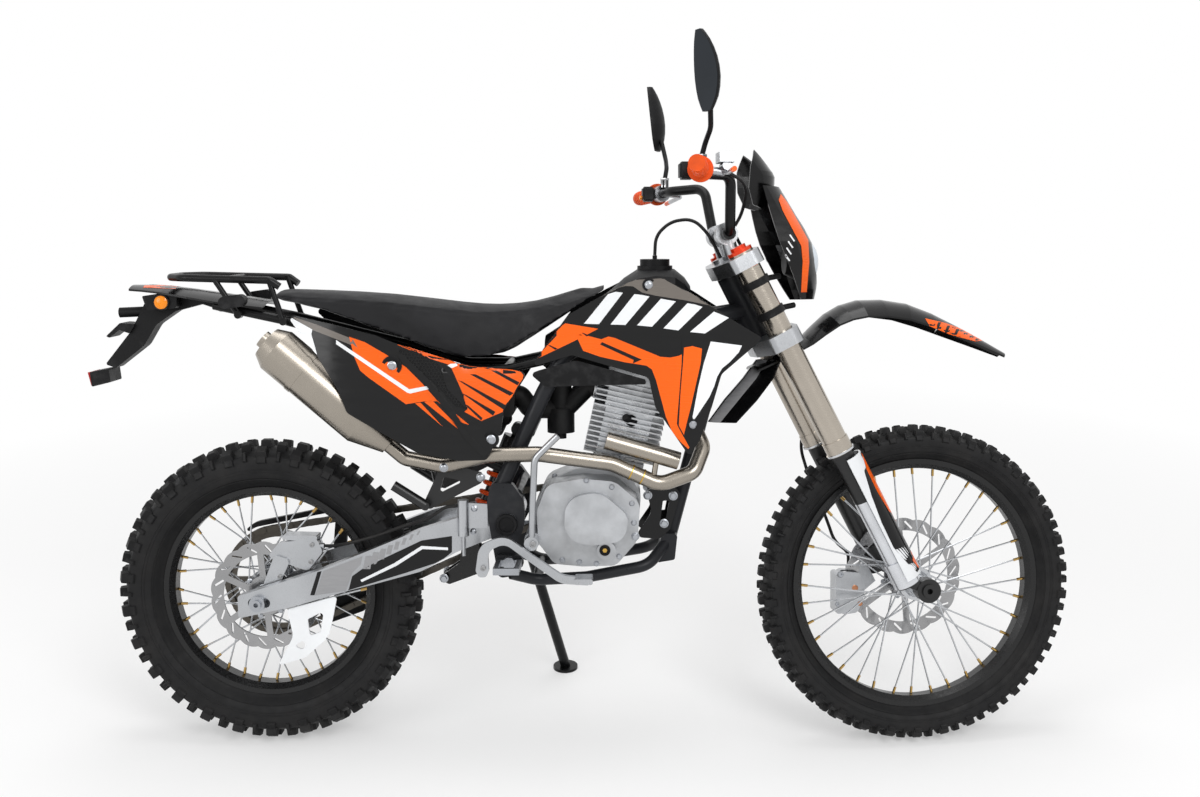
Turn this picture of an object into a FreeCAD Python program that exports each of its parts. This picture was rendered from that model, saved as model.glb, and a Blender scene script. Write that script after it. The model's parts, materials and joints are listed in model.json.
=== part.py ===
import FreeCAD, Part
from functools import lru_cache
import math
import os

V = FreeCAD.Vector

# Wheels and stance, in millimetres, with the bike upright, x forward from the rear axle, y to the left
WHEELBASE = 1430.0
FRONT_TYRE_RADIUS = 350.0
REAR_TYRE_RADIUS = 338.0
FRONT_TYRE_WIDTH = 92.0
REAR_TYRE_WIDTH = 118.0
FRONT_LUG = 13.0
REAR_LUG = 15.0
FRONT_LUG_PAIRS = 34
REAR_LUG_PAIRS = 26
LUG_LENGTH = 0.62
LUG_DRAFT = 1.2
CROWN_SHARE = 0.42
FRONT_RIM_RADIUS = 276.0
REAR_RIM_RADIUS = 236.0
RIM_DEPTH = 21.5
FRONT_RIM_WIDTH = 52.0
REAR_RIM_WIDTH = 64.0
RIM_WALL = 4.0
RAKE = 27.0
LEAN = 9.0
STEERED = 8.05
SEAT_GAP = 0.3
RUNNING_GAP = 0.3

# Fork, clamps and bars
FORK_SPREAD = 100.0
CLAMP_OFFSET = 23.0
LUG_OFFSET = 33.0
FORK_TUBE_RADIUS = 27.0
FORK_LEG_RADIUS = 29.0
FORK_SLIDER_RADIUS = 23.5
FORK_COLLAR_HEIGHT = 355.0
UPPER_CLAMP_HEIGHT = 812.0
CLAMP_SPACING = 184.0
CLAMP_THICKNESS = 34.0
STEM_RADIUS = 15.0
HEAD_TUBE_RADIUS = 29.0
HEAD_CLEARANCE = 1.0
BAR_RADIUS = 11.0
BAR_CENTRE_RADIUS = 14.0
BAR_HALF_WIDTH = 409.0
BAR_RISE = 66.0
GRIP_RADIUS = 16.0
GRIP_LENGTH = 118.0
MIRROR_TOE = 24.0
LAMP = (1190.0, 1058.0)
LAMP_RADIUS = 51.0

# Axles, hubs and brakes
AXLE_RADIUS = 10.0
FRONT_AXLE_END = 119.0
REAR_AXLE_END = 146.0
HUB_RADIUS = 24.0
REAR_HUB_END = 79.0
FRONT_HUB_END = 74.0
FLANGE_THICKNESS = 5.0
FRONT_FLANGE_RADIUS = 37.0
REAR_FLANGE_RADIUS = 52.0
FRONT_FLANGE_SPREAD = 27.0
REAR_FLANGE_SPREAD = 32.0
SPOKES_PER_WHEEL = 36
SPOKE_RADIUS = 1.9
NIPPLE_RADIUS = 3.2
NIPPLE_LENGTH = 15.0
FRONT_DISC_RADIUS = 133.0
REAR_DISC_RADIUS = 121.0
DISC_THICKNESS = 4.0
DISC_BAND = 24.0
DISC_WAVES = 18
WAVE_DEPTH = 4.5
AXLE_HOLE_DEPTH = 18.0
HOSE_RADIUS = 3.6
CALIPER_TOP = (1308.0, 376.0)
REAR_CALIPER_FACE = 136.0
PUMP_RADIUS = 12.0
DISC_OFFSET = 64.0
CALIPER_GAP = 5.2

# Chain and sprockets
CHAIN_PITCH = 15.875
REAR_TEETH = 48
FRONT_TEETH = 13
CHAIN_LINE = 73.0
CHAIN_WIDTH = 17.0
CHAIN_HEIGHT = 15.0
SPROCKET_THICKNESS = 6.0
COUNTERSHAFT = (628.0, 522.0)

# Swingarm and frame
PIVOT = (542.0, 516.0)
PIVOT_RADIUS = 27.0
ARM_OUTER = 127.0
ARM_THICKNESS = 27.0
PIVOT_INNER = 86.0
PIVOT_OUTER = 103.5
PIVOT_NECK_RADIUS = 16.5
SPAR_RADIUS = 17.0
SPAR_SPREAD = 106.0
CRADLE_RADIUS = 12.5
CRADLE_SPREAD = 92.0
SUBFRAME_RADIUS = 9.5
SHOCK_TOP = (556.0, 698.0)
SHOCK_LOW = (448.0, 440.0)
SHOCK_CROSS = (590.0, 705.0)
TAIL_TUBE = (-84.0, 975.0)
RACK_POST_SIDE = 86.0
RACK_POST_RADIUS = 6.0
PLATE_HOLE_RADIUS = 3.25

# Engine
CRANKCASE_HALF_WIDTH = 54.0
CLUTCH_COVER_FACE = 128.0
OVAL_COVER_FACE = 148.0
IGNITION_COVER_FACE = 130.0
CYLINDER_TILT = 13.0
CYLINDER_BASE = (772.0, 612.0)
CARB = (651.0, 742.0)
FIN_LENGTH = 158.0
FIN_WIDTH = 142.0
FIN_THICKNESS = 3.2
FIN_PITCH = 11.0
BARREL_FINS = 9
INTAKE_REACH = 84.0
EXHAUST_REACH = 92.0
PORT_SIDE = -22.0
HEAD_FINS = 5
HEADER_RADIUS = 16.5
SILENCER_RADIUS = 50.0
SILENCER_LINE = 127.0

# Bodywork
PANEL_THICKNESS = 4.0
FENDER_THICKNESS = 4.0
SEAT_HALF_WIDTH = 112.0
FILLER = (858.0, 1045.0)

# Side stand
STAND_PIVOT = (566.0, 150.0, 392.0)
STAND_RADIUS = 12.0
STAND_EYE = 12.5
STAND_FOOT = (640.0, 318.0)
STAND_FOOT_RADIUS = 30.0
STAND_FOOT_THICKNESS = 7.0

LOWER_CLAMP_HEIGHT = UPPER_CLAMP_HEIGHT - CLAMP_SPACING
FORK_TOP = UPPER_CLAMP_HEIGHT + 26.0
SIN = math.sin(math.radians(RAKE))
COS = math.cos(math.radians(RAKE))
REAR_AXLE = V(0, 0, REAR_TYRE_RADIUS)
FRONT_AXLE = V(WHEELBASE, 0, FRONT_TYRE_RADIUS)
STEER_UP = V(-SIN, 0, COS)
STEER_FORWARD = V(COS, 0, SIN)
STEER_FOOT = FRONT_AXLE - STEER_FORWARD * (CLAMP_OFFSET + LUG_OFFSET)


def steer_place(along, forward, side):
    """A point given by its height up the steering axis, its distance ahead of it, and its side."""
    return STEER_FOOT + STEER_UP * along + STEER_FORWARD * forward + V(0, side, 0)


def arc_corner(before, corner, after, radius):
    """The two tangent points and the middle point of the arc that rounds a corner."""
    u = (before - corner).normalize()
    w = (after - corner).normalize()
    half = u.getAngle(w) / 2
    reach = radius / math.tan(half)
    centre = corner + (u + w).normalize() * (radius / math.sin(half))
    middle = centre + (corner - centre).normalize() * radius
    return corner + u * reach, middle, corner + w * reach


def rounded_edges(points, radii, closed):
    """Straight runs joined by tangent arcs through the given corners."""
    count = len(points)
    edges = []
    ends = []
    for i, point in enumerate(points):
        inside = closed or 0 < i < count - 1
        if inside and radii[i] > 0:
            ends.append(arc_corner(points[i - 1], point, points[(i + 1) % count], radii[i]))
        else:
            ends.append((point, None, point))
    last = count if closed else count - 1
    for i in range(count):
        start, middle, end = ends[i]
        if middle is not None:
            edges.append(Part.Arc(start, middle, end).toShape())
        if i < last:
            target = ends[(i + 1) % count][0]
            if end.distanceToPoint(target) > 1e-4:
                edges.append(Part.LineSegment(end, target).toShape())
    return edges


def split_corners(corners, radius):
    """Separates corners given as (a, b) or (a, b, r) into plain pairs and radii."""
    pairs = [c[:2] for c in corners]
    radii = [c[2] if len(c) > 2 else radius for c in corners]
    return pairs, radii


def face_xz(corners, y, radius=0.0):
    pairs, radii = split_corners(corners, radius)
    points = [V(a, y, b) for a, b in pairs]
    return Part.Face(Part.Wire(rounded_edges(points, radii, True)))


def face_xy(corners, z, radius=0.0):
    pairs, radii = split_corners(corners, radius)
    points = [V(a, b, z) for a, b in pairs]
    return Part.Face(Part.Wire(rounded_edges(points, radii, True)))


def plate(corners, y0, y1, radius=0.0):
    """A side-view outline made solid between two planes across the bike."""
    return face_xz(corners, y0, radius).extrude(V(0, y1 - y0, 0))


def strap(a, b, radius, y0, y1):
    """A flat link with round ends between two (x, z) points."""
    start = V(a[0], y0, a[1])
    end = V(b[0], y0, b[1])
    along = (end - start).normalize()
    across = V(-along.z, 0, along.x) * radius
    along = along * radius
    wire = Part.Wire([
        Part.Arc(start + across, start - along, start - across).toShape(),
        Part.LineSegment(start - across, end - across).toShape(),
        Part.Arc(end - across, end + along, end + across).toShape(),
        Part.LineSegment(end + across, start + across).toShape(),
    ])
    return Part.Face(wire).extrude(V(0, y1 - y0, 0))


def cylinder(start, end, radius):
    axis = end - start
    return Part.makeCylinder(radius, axis.Length, start, axis)


def cone(start, end, r0, r1):
    axis = end - start
    return Part.makeCone(r0, r1, axis.Length, start, axis)


def cross_pin(x, z, y0, y1, radius):
    return cylinder(V(x, y0, z), V(x, y1, z), radius)


def tube(points, radius, bends, bore=0.0):
    """A round tube along straight runs joined by tangent arcs."""
    points = [V(*p) for p in points]
    if not isinstance(bends, (list, tuple)):
        bends = [bends] * len(points)
    path = Part.Wire(rounded_edges(points, list(bends), False))
    along = points[1] - points[0]
    section = Part.Wire(Part.Circle(points[0], along, radius).toShape())
    solid = path.makePipeShell([section], True, False)
    if bore > 0:
        inner = Part.Wire(Part.Circle(points[0], along, bore).toShape())
        solid = solid.cut(path.makePipeShell([inner], True, False))
    return solid


def ring(profile, centre):
    """A profile of (side, radius) pairs turned about an axle that runs across the bike."""
    points = [V(centre.x, centre.y + y, centre.z + r) for y, r in profile]
    points.append(points[0])
    face = Part.Face(Part.makePolygon(points))
    return face.revolve(centre, V(0, 1, 0), 360)


def fuse(shapes):
    result = shapes[0]
    if len(shapes) > 1:
        result = shapes[0].multiFuse(shapes[1:])
    return result.removeSplitter()


def mirrored(shape):
    return shape.mirror(V(0, 0, 0), V(0, 1, 0))


def both_sides(shape):
    return [shape, mirrored(shape)]


def bent_panel(outline, plan, thickness, base, height, inward, radius=8.0):
    """A thin panel: a side-view outline cut from a sheet that curves in plan and leans inward with height."""
    outer = [V(x, y, base) for x, y in plan]
    inner = [V(x, y + thickness, base) for x, y in plan]
    outer_edge = Part.BSplineCurve()
    outer_edge.interpolate(outer)
    inner_edge = Part.BSplineCurve()
    inner_edge.interpolate(inner)
    ends = [Part.LineSegment(outer[-1], inner[-1]).toShape(), Part.LineSegment(inner[0], outer[0]).toShape()]
    wire = Part.Wire([outer_edge.toShape(), ends[0], inner_edge.toShape(), ends[1]])
    sheet = Part.Face(wire).extrude(V(0, inward, height))
    low = min(y for x, y in plan) - 50
    high = max(y for x, y in plan) + inward + thickness + 50
    return sheet.common(plate(outline, low, high, radius))


def faired(stations, steps):
    """The given stations with smooth in-between ones, each value on a curve through its neighbours."""
    count = len(stations)
    result = []
    for i in range(count - 1):
        before = stations[max(i - 1, 0)]
        a = stations[i]
        b = stations[i + 1]
        after = stations[min(i + 2, count - 1)]
        for k in range(steps):
            t = k / steps
            value = []
            for p, q, r, w in zip(before, a, b, after):
                start = (r - p) / 2
                end = (w - q) / 2
                cubic = 2 * q - 2 * r + start + end
                square = -3 * q + 3 * r - 2 * start - end
                value.append(((cubic * t + square) * t + start) * t + q)
            result.append(tuple(value))
    result.append(tuple(stations[-1]))
    return result


def skinned(section, stations, steps=2):
    """A closed body whose skin runs straight between closely spaced sections."""
    return Part.makeLoft([section(*station) for station in faired(stations, steps)], True, True)


def crowned_section(x, z, slope, half, crown, thickness=FENDER_THICKNESS):
    """A thin arched section of a fender, square to a line that slopes in the side view."""
    up = V(-math.sin(math.radians(slope)), 0, math.cos(math.radians(slope)))
    middle = V(x, 0, z)
    rim = up * -crown
    skin = up * -thickness
    left = V(0, half, 0)
    outer = Part.Arc(middle + rim - left, middle, middle + rim + left).toShape()
    inner = Part.Arc(middle + rim + left + skin, middle + skin, middle + rim - left + skin).toShape()
    side_a = Part.LineSegment(middle + rim + left, middle + rim + left + skin).toShape()
    side_b = Part.LineSegment(middle + rim - left + skin, middle + rim - left).toShape()
    return Part.Wire([outer, side_a, inner, side_b])


def saddle_section(x, low, high, half_low, half_high, crown):
    """A closed section across the bike with a flat base, sloping sides and a crowned top."""
    a = V(x, -half_low, low)
    b = V(x, -half_high, high - crown)
    top = V(x, 0, high)
    c = V(x, half_high, high - crown)
    d = V(x, half_low, low)
    return Part.Wire([
        Part.LineSegment(a, b).toShape(),
        Part.Arc(b, top, c).toShape(),
        Part.LineSegment(c, d).toShape(),
        Part.LineSegment(d, a).toShape(),
    ])


def bead_radius(rim_radius):
    return rim_radius - 10.0


def carcass_profile(radius, width, rim_radius, rim_width, lug):
    """Pairs of side and radius round the carcass, from the left bead over the crown to the right bead."""
    bead = bead_radius(rim_radius) + SEAT_GAP
    foot = rim_width / 2 - RIM_WALL - SEAT_GAP
    half = width / 2
    height = radius - rim_radius
    left = [(foot - 1.6, bead), (foot, rim_radius + 1.0), (half * 0.86, rim_radius + 0.27 * height),
            (half * 0.96, rim_radius + 0.55 * height), (half * 0.9, radius - 0.27 * half - 0.9 * lug),
            (half * CROWN_SHARE, radius - lug - 1.0)]
    return left + [(-y, r) for y, r in reversed(left)]


def wheel_point(centre, side, radius, angle):
    return V(centre.x + radius * math.cos(angle), centre.y + side, centre.z + radius * math.sin(angle))


def lug_corners(centre, corners, height, share):
    """The foot and the tip of a lug in the middle of a facet, as two rings of four points."""
    a, b, c, d = corners
    middle = (a + b + c + d) / 4
    along = (b - a + c - d).normalize()
    across = (d - a + c - b).normalize()
    out = along.cross(across)
    if out.dot(middle - centre) < 0:
        out = out * -1
    reach = min((b - a).Length, (c - d).Length) * LUG_LENGTH / 2
    width = ((a + b) / 2 - (c + d) / 2).Length * share / 2
    foot = []
    tip = []
    for p, q in ((-1, -1), (1, -1), (1, 1), (-1, 1)):
        foot.append(middle + along * (p * reach) + across * (q * width))
        drawn_in = along * (p * (reach - LUG_DRAFT)) + across * (q * (width - LUG_DRAFT))
        tip.append(middle + drawn_in + out * height)
    return foot, tip


def tyre_facets(centre, radius, width, rim_radius, rim_width, lug, pairs):
    """Each facet of the carcass as its four corners, its band and its place round the wheel."""
    profile = carcass_profile(radius, width, rim_radius, rim_width, lug)
    count = 2 * pairs
    step = 2 * math.pi / count
    grow = 1 / math.cos(step / 2)
    facets = []
    for k in range(count):
        start = -math.pi / 2 + (k - 0.5) * step
        for band in range(len(profile)):
            y0, r0 = profile[band]
            y1, r1 = profile[(band + 1) % len(profile)]
            facets.append(([wheel_point(centre, y0, r0 * grow, start),
                            wheel_point(centre, y0, r0 * grow, start + step),
                            wheel_point(centre, y1, r1 * grow, start + step),
                            wheel_point(centre, y1, r1 * grow, start)],
                           band, k))
    return facets


def lug_share(band, place):
    """How much of a facet's width its lug takes: a wide lug on the crown, then one on each shoulder."""
    if place % 2 == 0 and band == 5:
        return 0.72
    if place % 2 == 1 and band in (4, 6):
        return 0.84
    return 0.0


def polygon_face(points, hole=None):
    wires = [Part.makePolygon(list(points) + [points[0]])]
    if hole:
        wires.append(Part.makePolygon(list(reversed(hole)) + [hole[-1]]))
    return Part.Face(wires)


def tyre(centre, radius, width, rim_radius, rim_width, lug, pairs):
    """A carcass of flat facets seated between the rim's flanges, with lugs out to the tread's radius."""
    faces = []
    for corners, band, place in tyre_facets(centre, radius, width, rim_radius, rim_width, lug, pairs):
        share = lug_share(band, place)
        if share == 0:
            faces.append(polygon_face(corners))
            continue
        foot, tip = lug_corners(centre, corners, lug, share)
        faces.append(polygon_face(corners, foot))
        faces.append(polygon_face(tip))
        for i in range(4):
            j = (i + 1) % 4
            faces.append(polygon_face([foot[i], foot[j], tip[j], tip[i]]))
    shell = Part.makeShell(faces)
    shell.sewShape()
    solid = Part.Solid(shell)
    if solid.Volume < 0:
        solid.reverse()
    return solid


def tread_tips(centre, radius, width, rim_radius, rim_width, lug, pairs):
    """The outer corners of every lug."""
    tips = []
    for corners, band, place in tyre_facets(centre, radius, width, rim_radius, rim_width, lug, pairs):
        share = lug_share(band, place)
        if share > 0:
            tips += lug_corners(centre, corners, lug, share)[1]
    return tips


def rim(centre, radius, width):
    half = width / 2
    bead = bead_radius(radius)
    inner = radius - RIM_DEPTH
    profile = [
        (-half, radius), (-half + RIM_WALL, radius), (-half + RIM_WALL + 1.6, bead),
        (half - RIM_WALL - 1.6, bead), (half - RIM_WALL, radius), (half, radius),
        (half - 1.5, bead - 1.0), (half * 0.5, inner), (-half * 0.5, inner), (-half + 1.5, bead - 1.0),
    ]
    return ring(profile, centre)


def prism_rod(start, end, radius, sides=6):
    """A slim rod with flat sides, for what repeats many times."""
    axis = (end - start).normalize()
    side = axis.cross(V(0, 1, 0.02)).normalize()
    other = axis.cross(side)
    points = []
    for i in range(sides + 1):
        angle = 2 * math.pi * (i % sides) / sides
        points.append(start + side * (radius * math.cos(angle)) + other * (radius * math.sin(angle)))
    return Part.Face(Part.makePolygon(points)).extrude(end - start)


def spokes(centre, flange_radius, spread, rim_inner, first=0.0):
    """Crossed spokes from both flanges to nipples that stop at the rim."""
    rods = []
    pitch = 360.0 / SPOKES_PER_WHEEL
    circle = flange_radius - 5.0
    for i in range(SPOKES_PER_WHEEL):
        side = 1 if i % 2 else -1
        trail = 1 if (i // 2) % 2 else -1
        outer_angle = math.radians(first + i * pitch)
        inner_angle = outer_angle + math.radians(trail * 62.0)
        offset = side * (spread + trail * (FLANGE_THICKNESS / 2 - SPOKE_RADIUS * 0.3))
        start = centre + V(circle * math.cos(inner_angle), offset, circle * math.sin(inner_angle))
        reach = rim_inner - SEAT_GAP
        end = centre + V(reach * math.cos(outer_angle), side * 5.0, reach * math.sin(outer_angle))
        axis = (end - start).normalize()
        shoulder = end - axis * NIPPLE_LENGTH
        rods.append(prism_rod(start, shoulder + axis * 1.0, SPOKE_RADIUS))
        rods.append(prism_rod(shoulder, end - axis * 0.4, NIPPLE_RADIUS))
    return rods


def hub(centre, flange_radius, spread, left_end, right_end, bore):
    """A turned hub with two spoke flanges, open along its axle."""
    half = FLANGE_THICKNESS / 2
    profile = [
        (-right_end, bore), (-right_end, HUB_RADIUS), (-spread - half - 12, HUB_RADIUS),
               (-spread - half, HUB_RADIUS + 6),
        (-spread - half, flange_radius),
        (-spread + half, flange_radius), (-spread + half, HUB_RADIUS), (spread - half, HUB_RADIUS),
        (spread - half, flange_radius), (spread + half, flange_radius), (spread + half, HUB_RADIUS + 6),
        (spread + half + 12, HUB_RADIUS), (left_end, HUB_RADIUS), (left_end, bore),
    ]
    return ring(profile, centre)


def laced_hub(centre, flange_radius, spread, left_end, right_end, rim_radius):
    body = hub(centre, flange_radius, spread, left_end, right_end, AXLE_RADIUS + RUNNING_GAP)
    rods = spokes(centre, flange_radius, spread, rim_radius - RIM_DEPTH)
    return fuse([body] + rods)


def wave_face(centre, side, radius):
    """A round face with a scalloped rim."""
    edges = []
    step = 2 * math.pi / DISC_WAVES
    for i in range(DISC_WAVES):
        a = wheel_point(centre, side, radius - WAVE_DEPTH, i * step)
        crest = wheel_point(centre, side, radius, (i + 0.5) * step)
        b = wheel_point(centre, side, radius - WAVE_DEPTH, (i + 1) * step)
        edges.append(Part.Arc(a, crest, b).toShape())
    return Part.Face(Part.Wire(edges))


def disc(centre, radius, side, bore, arms=6):
    """A brake disc: a scalloped and slotted band carried on arms from its mounting ring."""
    low = side - DISC_THICKNESS / 2
    high = side + DISC_THICKNESS / 2
    across = V(0, DISC_THICKNESS, 0)
    band = wave_face(centre, low, radius).extrude(across)
    inner = radius - DISC_BAND - WAVE_DEPTH
    band = band.cut(cylinder(centre + V(0, low - 1, 0), centre + V(0, high + 1, 0), inner))
    slots = []
    for i in range(DISC_WAVES):
        angle = 2 * math.pi * i / DISC_WAVES
        a = wheel_point(centre, 0, inner + 6, angle)
        b = wheel_point(centre, 0, radius - 9, angle + 0.14)
        slots.append(strap((a.x, a.z), (b.x, b.z), 2.2, low - 1, high + 1))
    band = band.cut(Part.makeCompound(slots))
    core = ring([(low, bore), (low, bore + 18), (high, bore + 18), (high, bore)], centre)
    pieces = [band, core]
    start = bore + 10.0
    end = inner + 4.0
    for i in range(arms):
        arm = Part.makeBox(end - start, DISC_THICKNESS, 14.0, V(start, low, -7.0))
        arm.rotate(V(0, 0, 0), V(0, 1, 0), 25 + 360.0 * i / arms)
        arm.translate(centre)
        pieces.append(arm)
    return fuse(pieces)


def pitch_radius(teeth):
    return CHAIN_PITCH / (2 * math.sin(math.pi / teeth))


def rear_sprocket():
    """A toothed ring on a spider, bolted to the hub's left flange."""
    teeth = REAR_TEETH
    root = pitch_radius(teeth) - 5.6
    tip = pitch_radius(teeth) - 4.2
    y0 = CHAIN_LINE - SPROCKET_THICKNESS / 2
    band = ring([(y0, root - 14), (y0, tip), (y0 + SPROCKET_THICKNESS, tip),
                 (y0 + SPROCKET_THICKNESS, root - 14)], REAR_AXLE)
    core = ring([(y0, HUB_RADIUS + SEAT_GAP), (y0, HUB_RADIUS + 22),
                 (y0 + SPROCKET_THICKNESS, HUB_RADIUS + 22),
                 (y0 + SPROCKET_THICKNESS, HUB_RADIUS + SEAT_GAP)], REAR_AXLE)
    pieces = [band, core]
    for i in range(6):
        arm = Part.makeBox(root - HUB_RADIUS - 16, SPROCKET_THICKNESS, 16.0, V(HUB_RADIUS + 10, y0, -8.0))
        arm.rotate(V(0, 0, 0), V(0, 1, 0), 60 * i)
        arm.translate(REAR_AXLE)
        pieces.append(arm)
    return fuse(pieces)


def chain_loop():
    """The two runs and two wraps of the chain, as one band round the sprockets."""
    front = V(COUNTERSHAFT[0], 0, COUNTERSHAFT[1])
    rear = REAR_AXLE
    rf = pitch_radius(FRONT_TEETH)
    rr = pitch_radius(REAR_TEETH)
    gap = front - rear
    tilt = math.atan2(gap.z, gap.x)
    open_angle = math.acos((rr - rf) / gap.Length)

    def outline(grow):
        top = tilt + open_angle
        low = tilt - open_angle
        r1 = rr + grow
        r0 = rf + grow

        def rim_point(centre, radius, angle):
            return V(centre.x + radius * math.cos(angle), CHAIN_LINE - CHAIN_WIDTH / 2,
                     centre.z + radius * math.sin(angle))

        a = rim_point(rear, r1, top)
        b = rim_point(rear, r1, low)
        c = rim_point(front, r0, low)
        d = rim_point(front, r0, top)
        return Part.Wire([
            Part.Arc(a, rim_point(rear, r1, tilt + math.pi), b).toShape(),
            Part.LineSegment(b, c).toShape(),
            Part.Arc(c, rim_point(front, r0, tilt), d).toShape(),
            Part.LineSegment(d, a).toShape(),
        ])

    outer = Part.Face(outline(CHAIN_HEIGHT / 2)).extrude(V(0, CHAIN_WIDTH, 0))
    inner = Part.Face(outline(-3.8)).extrude(V(0, CHAIN_WIDTH, 0))
    return outer.cut(inner)


def front_sprocket():
    centre = V(COUNTERSHAFT[0], 0, COUNTERSHAFT[1])
    tip = pitch_radius(FRONT_TEETH) - 4.2
    toothed = cylinder(centre + V(0, CHAIN_LINE - 3, 0), centre + V(0, CHAIN_LINE + 3, 0), tip)
    shaft = cylinder(centre + V(0, CRANKCASE_HALF_WIDTH + SEAT_GAP, 0), centre + V(0, CHAIN_LINE + 12, 0),
                     12.0)
    return fuse([toothed, shaft])


def rear_axle():
    right = REAR_AXLE + V(0, -REAR_AXLE_END, 0)
    left = REAR_AXLE + V(0, REAR_AXLE_END, 0)
    rod = cylinder(right, left, AXLE_RADIUS)
    seat = ARM_OUTER + SEAT_GAP
    head = cylinder(REAR_AXLE + V(0, -seat - 12, 0), REAR_AXLE + V(0, -seat, 0), 17.0)
    nut = cylinder(REAR_AXLE + V(0, seat, 0), REAR_AXLE + V(0, seat + 12, 0), 17.0)
    spacer_r = ring([(-ARM_OUTER + ARM_THICKNESS + SEAT_GAP, AXLE_RADIUS - 1),
                     (-ARM_OUTER + ARM_THICKNESS + SEAT_GAP, 15),
                     (-REAR_HUB_END - 1, 15), (-REAR_HUB_END - 1, AXLE_RADIUS - 1)], REAR_AXLE)
    spacer_l = mirrored(spacer_r)
    bore = cylinder(right - V(0, 1, 0), right + V(0, AXLE_HOLE_DEPTH, 0), 5.0)
    return fuse([rod, head, nut, spacer_r, spacer_l]).cut(bore)


def swingarm():
    """Two box arms with slotted axle ends, a brace ahead of the tyre and a pivot boss at the frame."""
    side = [(-44, REAR_AXLE.z - 34, 6), (75, REAR_AXLE.z - 8, 60), (200, 366, 60), (352, 405, 60),
            (430, 446, 40), (PIVOT[0] - 6, PIVOT[1] - 30, 20), (PIVOT[0] + 20, PIVOT[1] - 20, 16),
            (PIVOT[0] + 20, PIVOT[1] + 22, 16),
            (PIVOT[0] - 20, PIVOT[1] + 28, 20), (430, 520, 60), (352, 497, 80), (132, 409, 80), (-44, 353, 6)]
    blade = plate(side, -ARM_OUTER, -ARM_OUTER + 60)
    plan = [(-60, -ARM_OUTER), (-60, -ARM_OUTER + ARM_THICKNESS), (310, -ARM_OUTER + ARM_THICKNESS, 80),
            (420, -PIVOT_INNER, 40), (600, -PIVOT_INNER), (600, -PIVOT_OUTER), (480, -PIVOT_OUTER, 60),
            (380, -116, 80), (250, -ARM_OUTER, 120)]
    blade = blade.common(face_xy(plan, 200).extrude(V(0, 0, 500)))
    slot = plate([(-22, REAR_AXLE.z - AXLE_RADIUS - RUNNING_GAP, 10),
                  (26, REAR_AXLE.z - AXLE_RADIUS - RUNNING_GAP, 10),
                  (26, REAR_AXLE.z + AXLE_RADIUS + RUNNING_GAP, 10),
                  (-22, REAR_AXLE.z + AXLE_RADIUS + RUNNING_GAP, 10)],
                 -ARM_OUTER - 5, -ARM_OUTER + 60)
    blade = blade.cut(slot)
    arms = both_sides(blade)
    brace = plate([(356, 414, 12), (416, 444, 12), (422, 484, 12), (362, 478, 16)], -92, 92)
    neck_start = CHAIN_LINE - CHAIN_WIDTH / 2 - 5
    boss = cross_pin(PIVOT[0], PIVOT[1], -PIVOT_OUTER, neck_start, PIVOT_RADIUS)
    neck = cross_pin(PIVOT[0], PIVOT[1], neck_start - 1, PIVOT_OUTER - 1, PIVOT_NECK_RADIUS)
    bore = cross_pin(PIVOT[0], PIVOT[1], -110, 110, AXLE_RADIUS + RUNNING_GAP)
    return fuse(arms + [brace, boss, neck]).cut(bore)


def pivot_bolt():
    half = SPAR_SPREAD + 22
    bolt = cross_pin(PIVOT[0], PIVOT[1], -half, half, AXLE_RADIUS)
    caps = [cross_pin(PIVOT[0], PIVOT[1], s * (half + SEAT_GAP), s * (half + 8), 19.0) for s in (-1, 1)]
    joined = [cross_pin(PIVOT[0], PIVOT[1], s * (half - 1), s * (half + 4), AXLE_RADIUS - 1) for s in (-1, 1)]
    return fuse([bolt] + caps + joined)


def head_centre(along):
    return steer_place(along, 0, 0)


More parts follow.
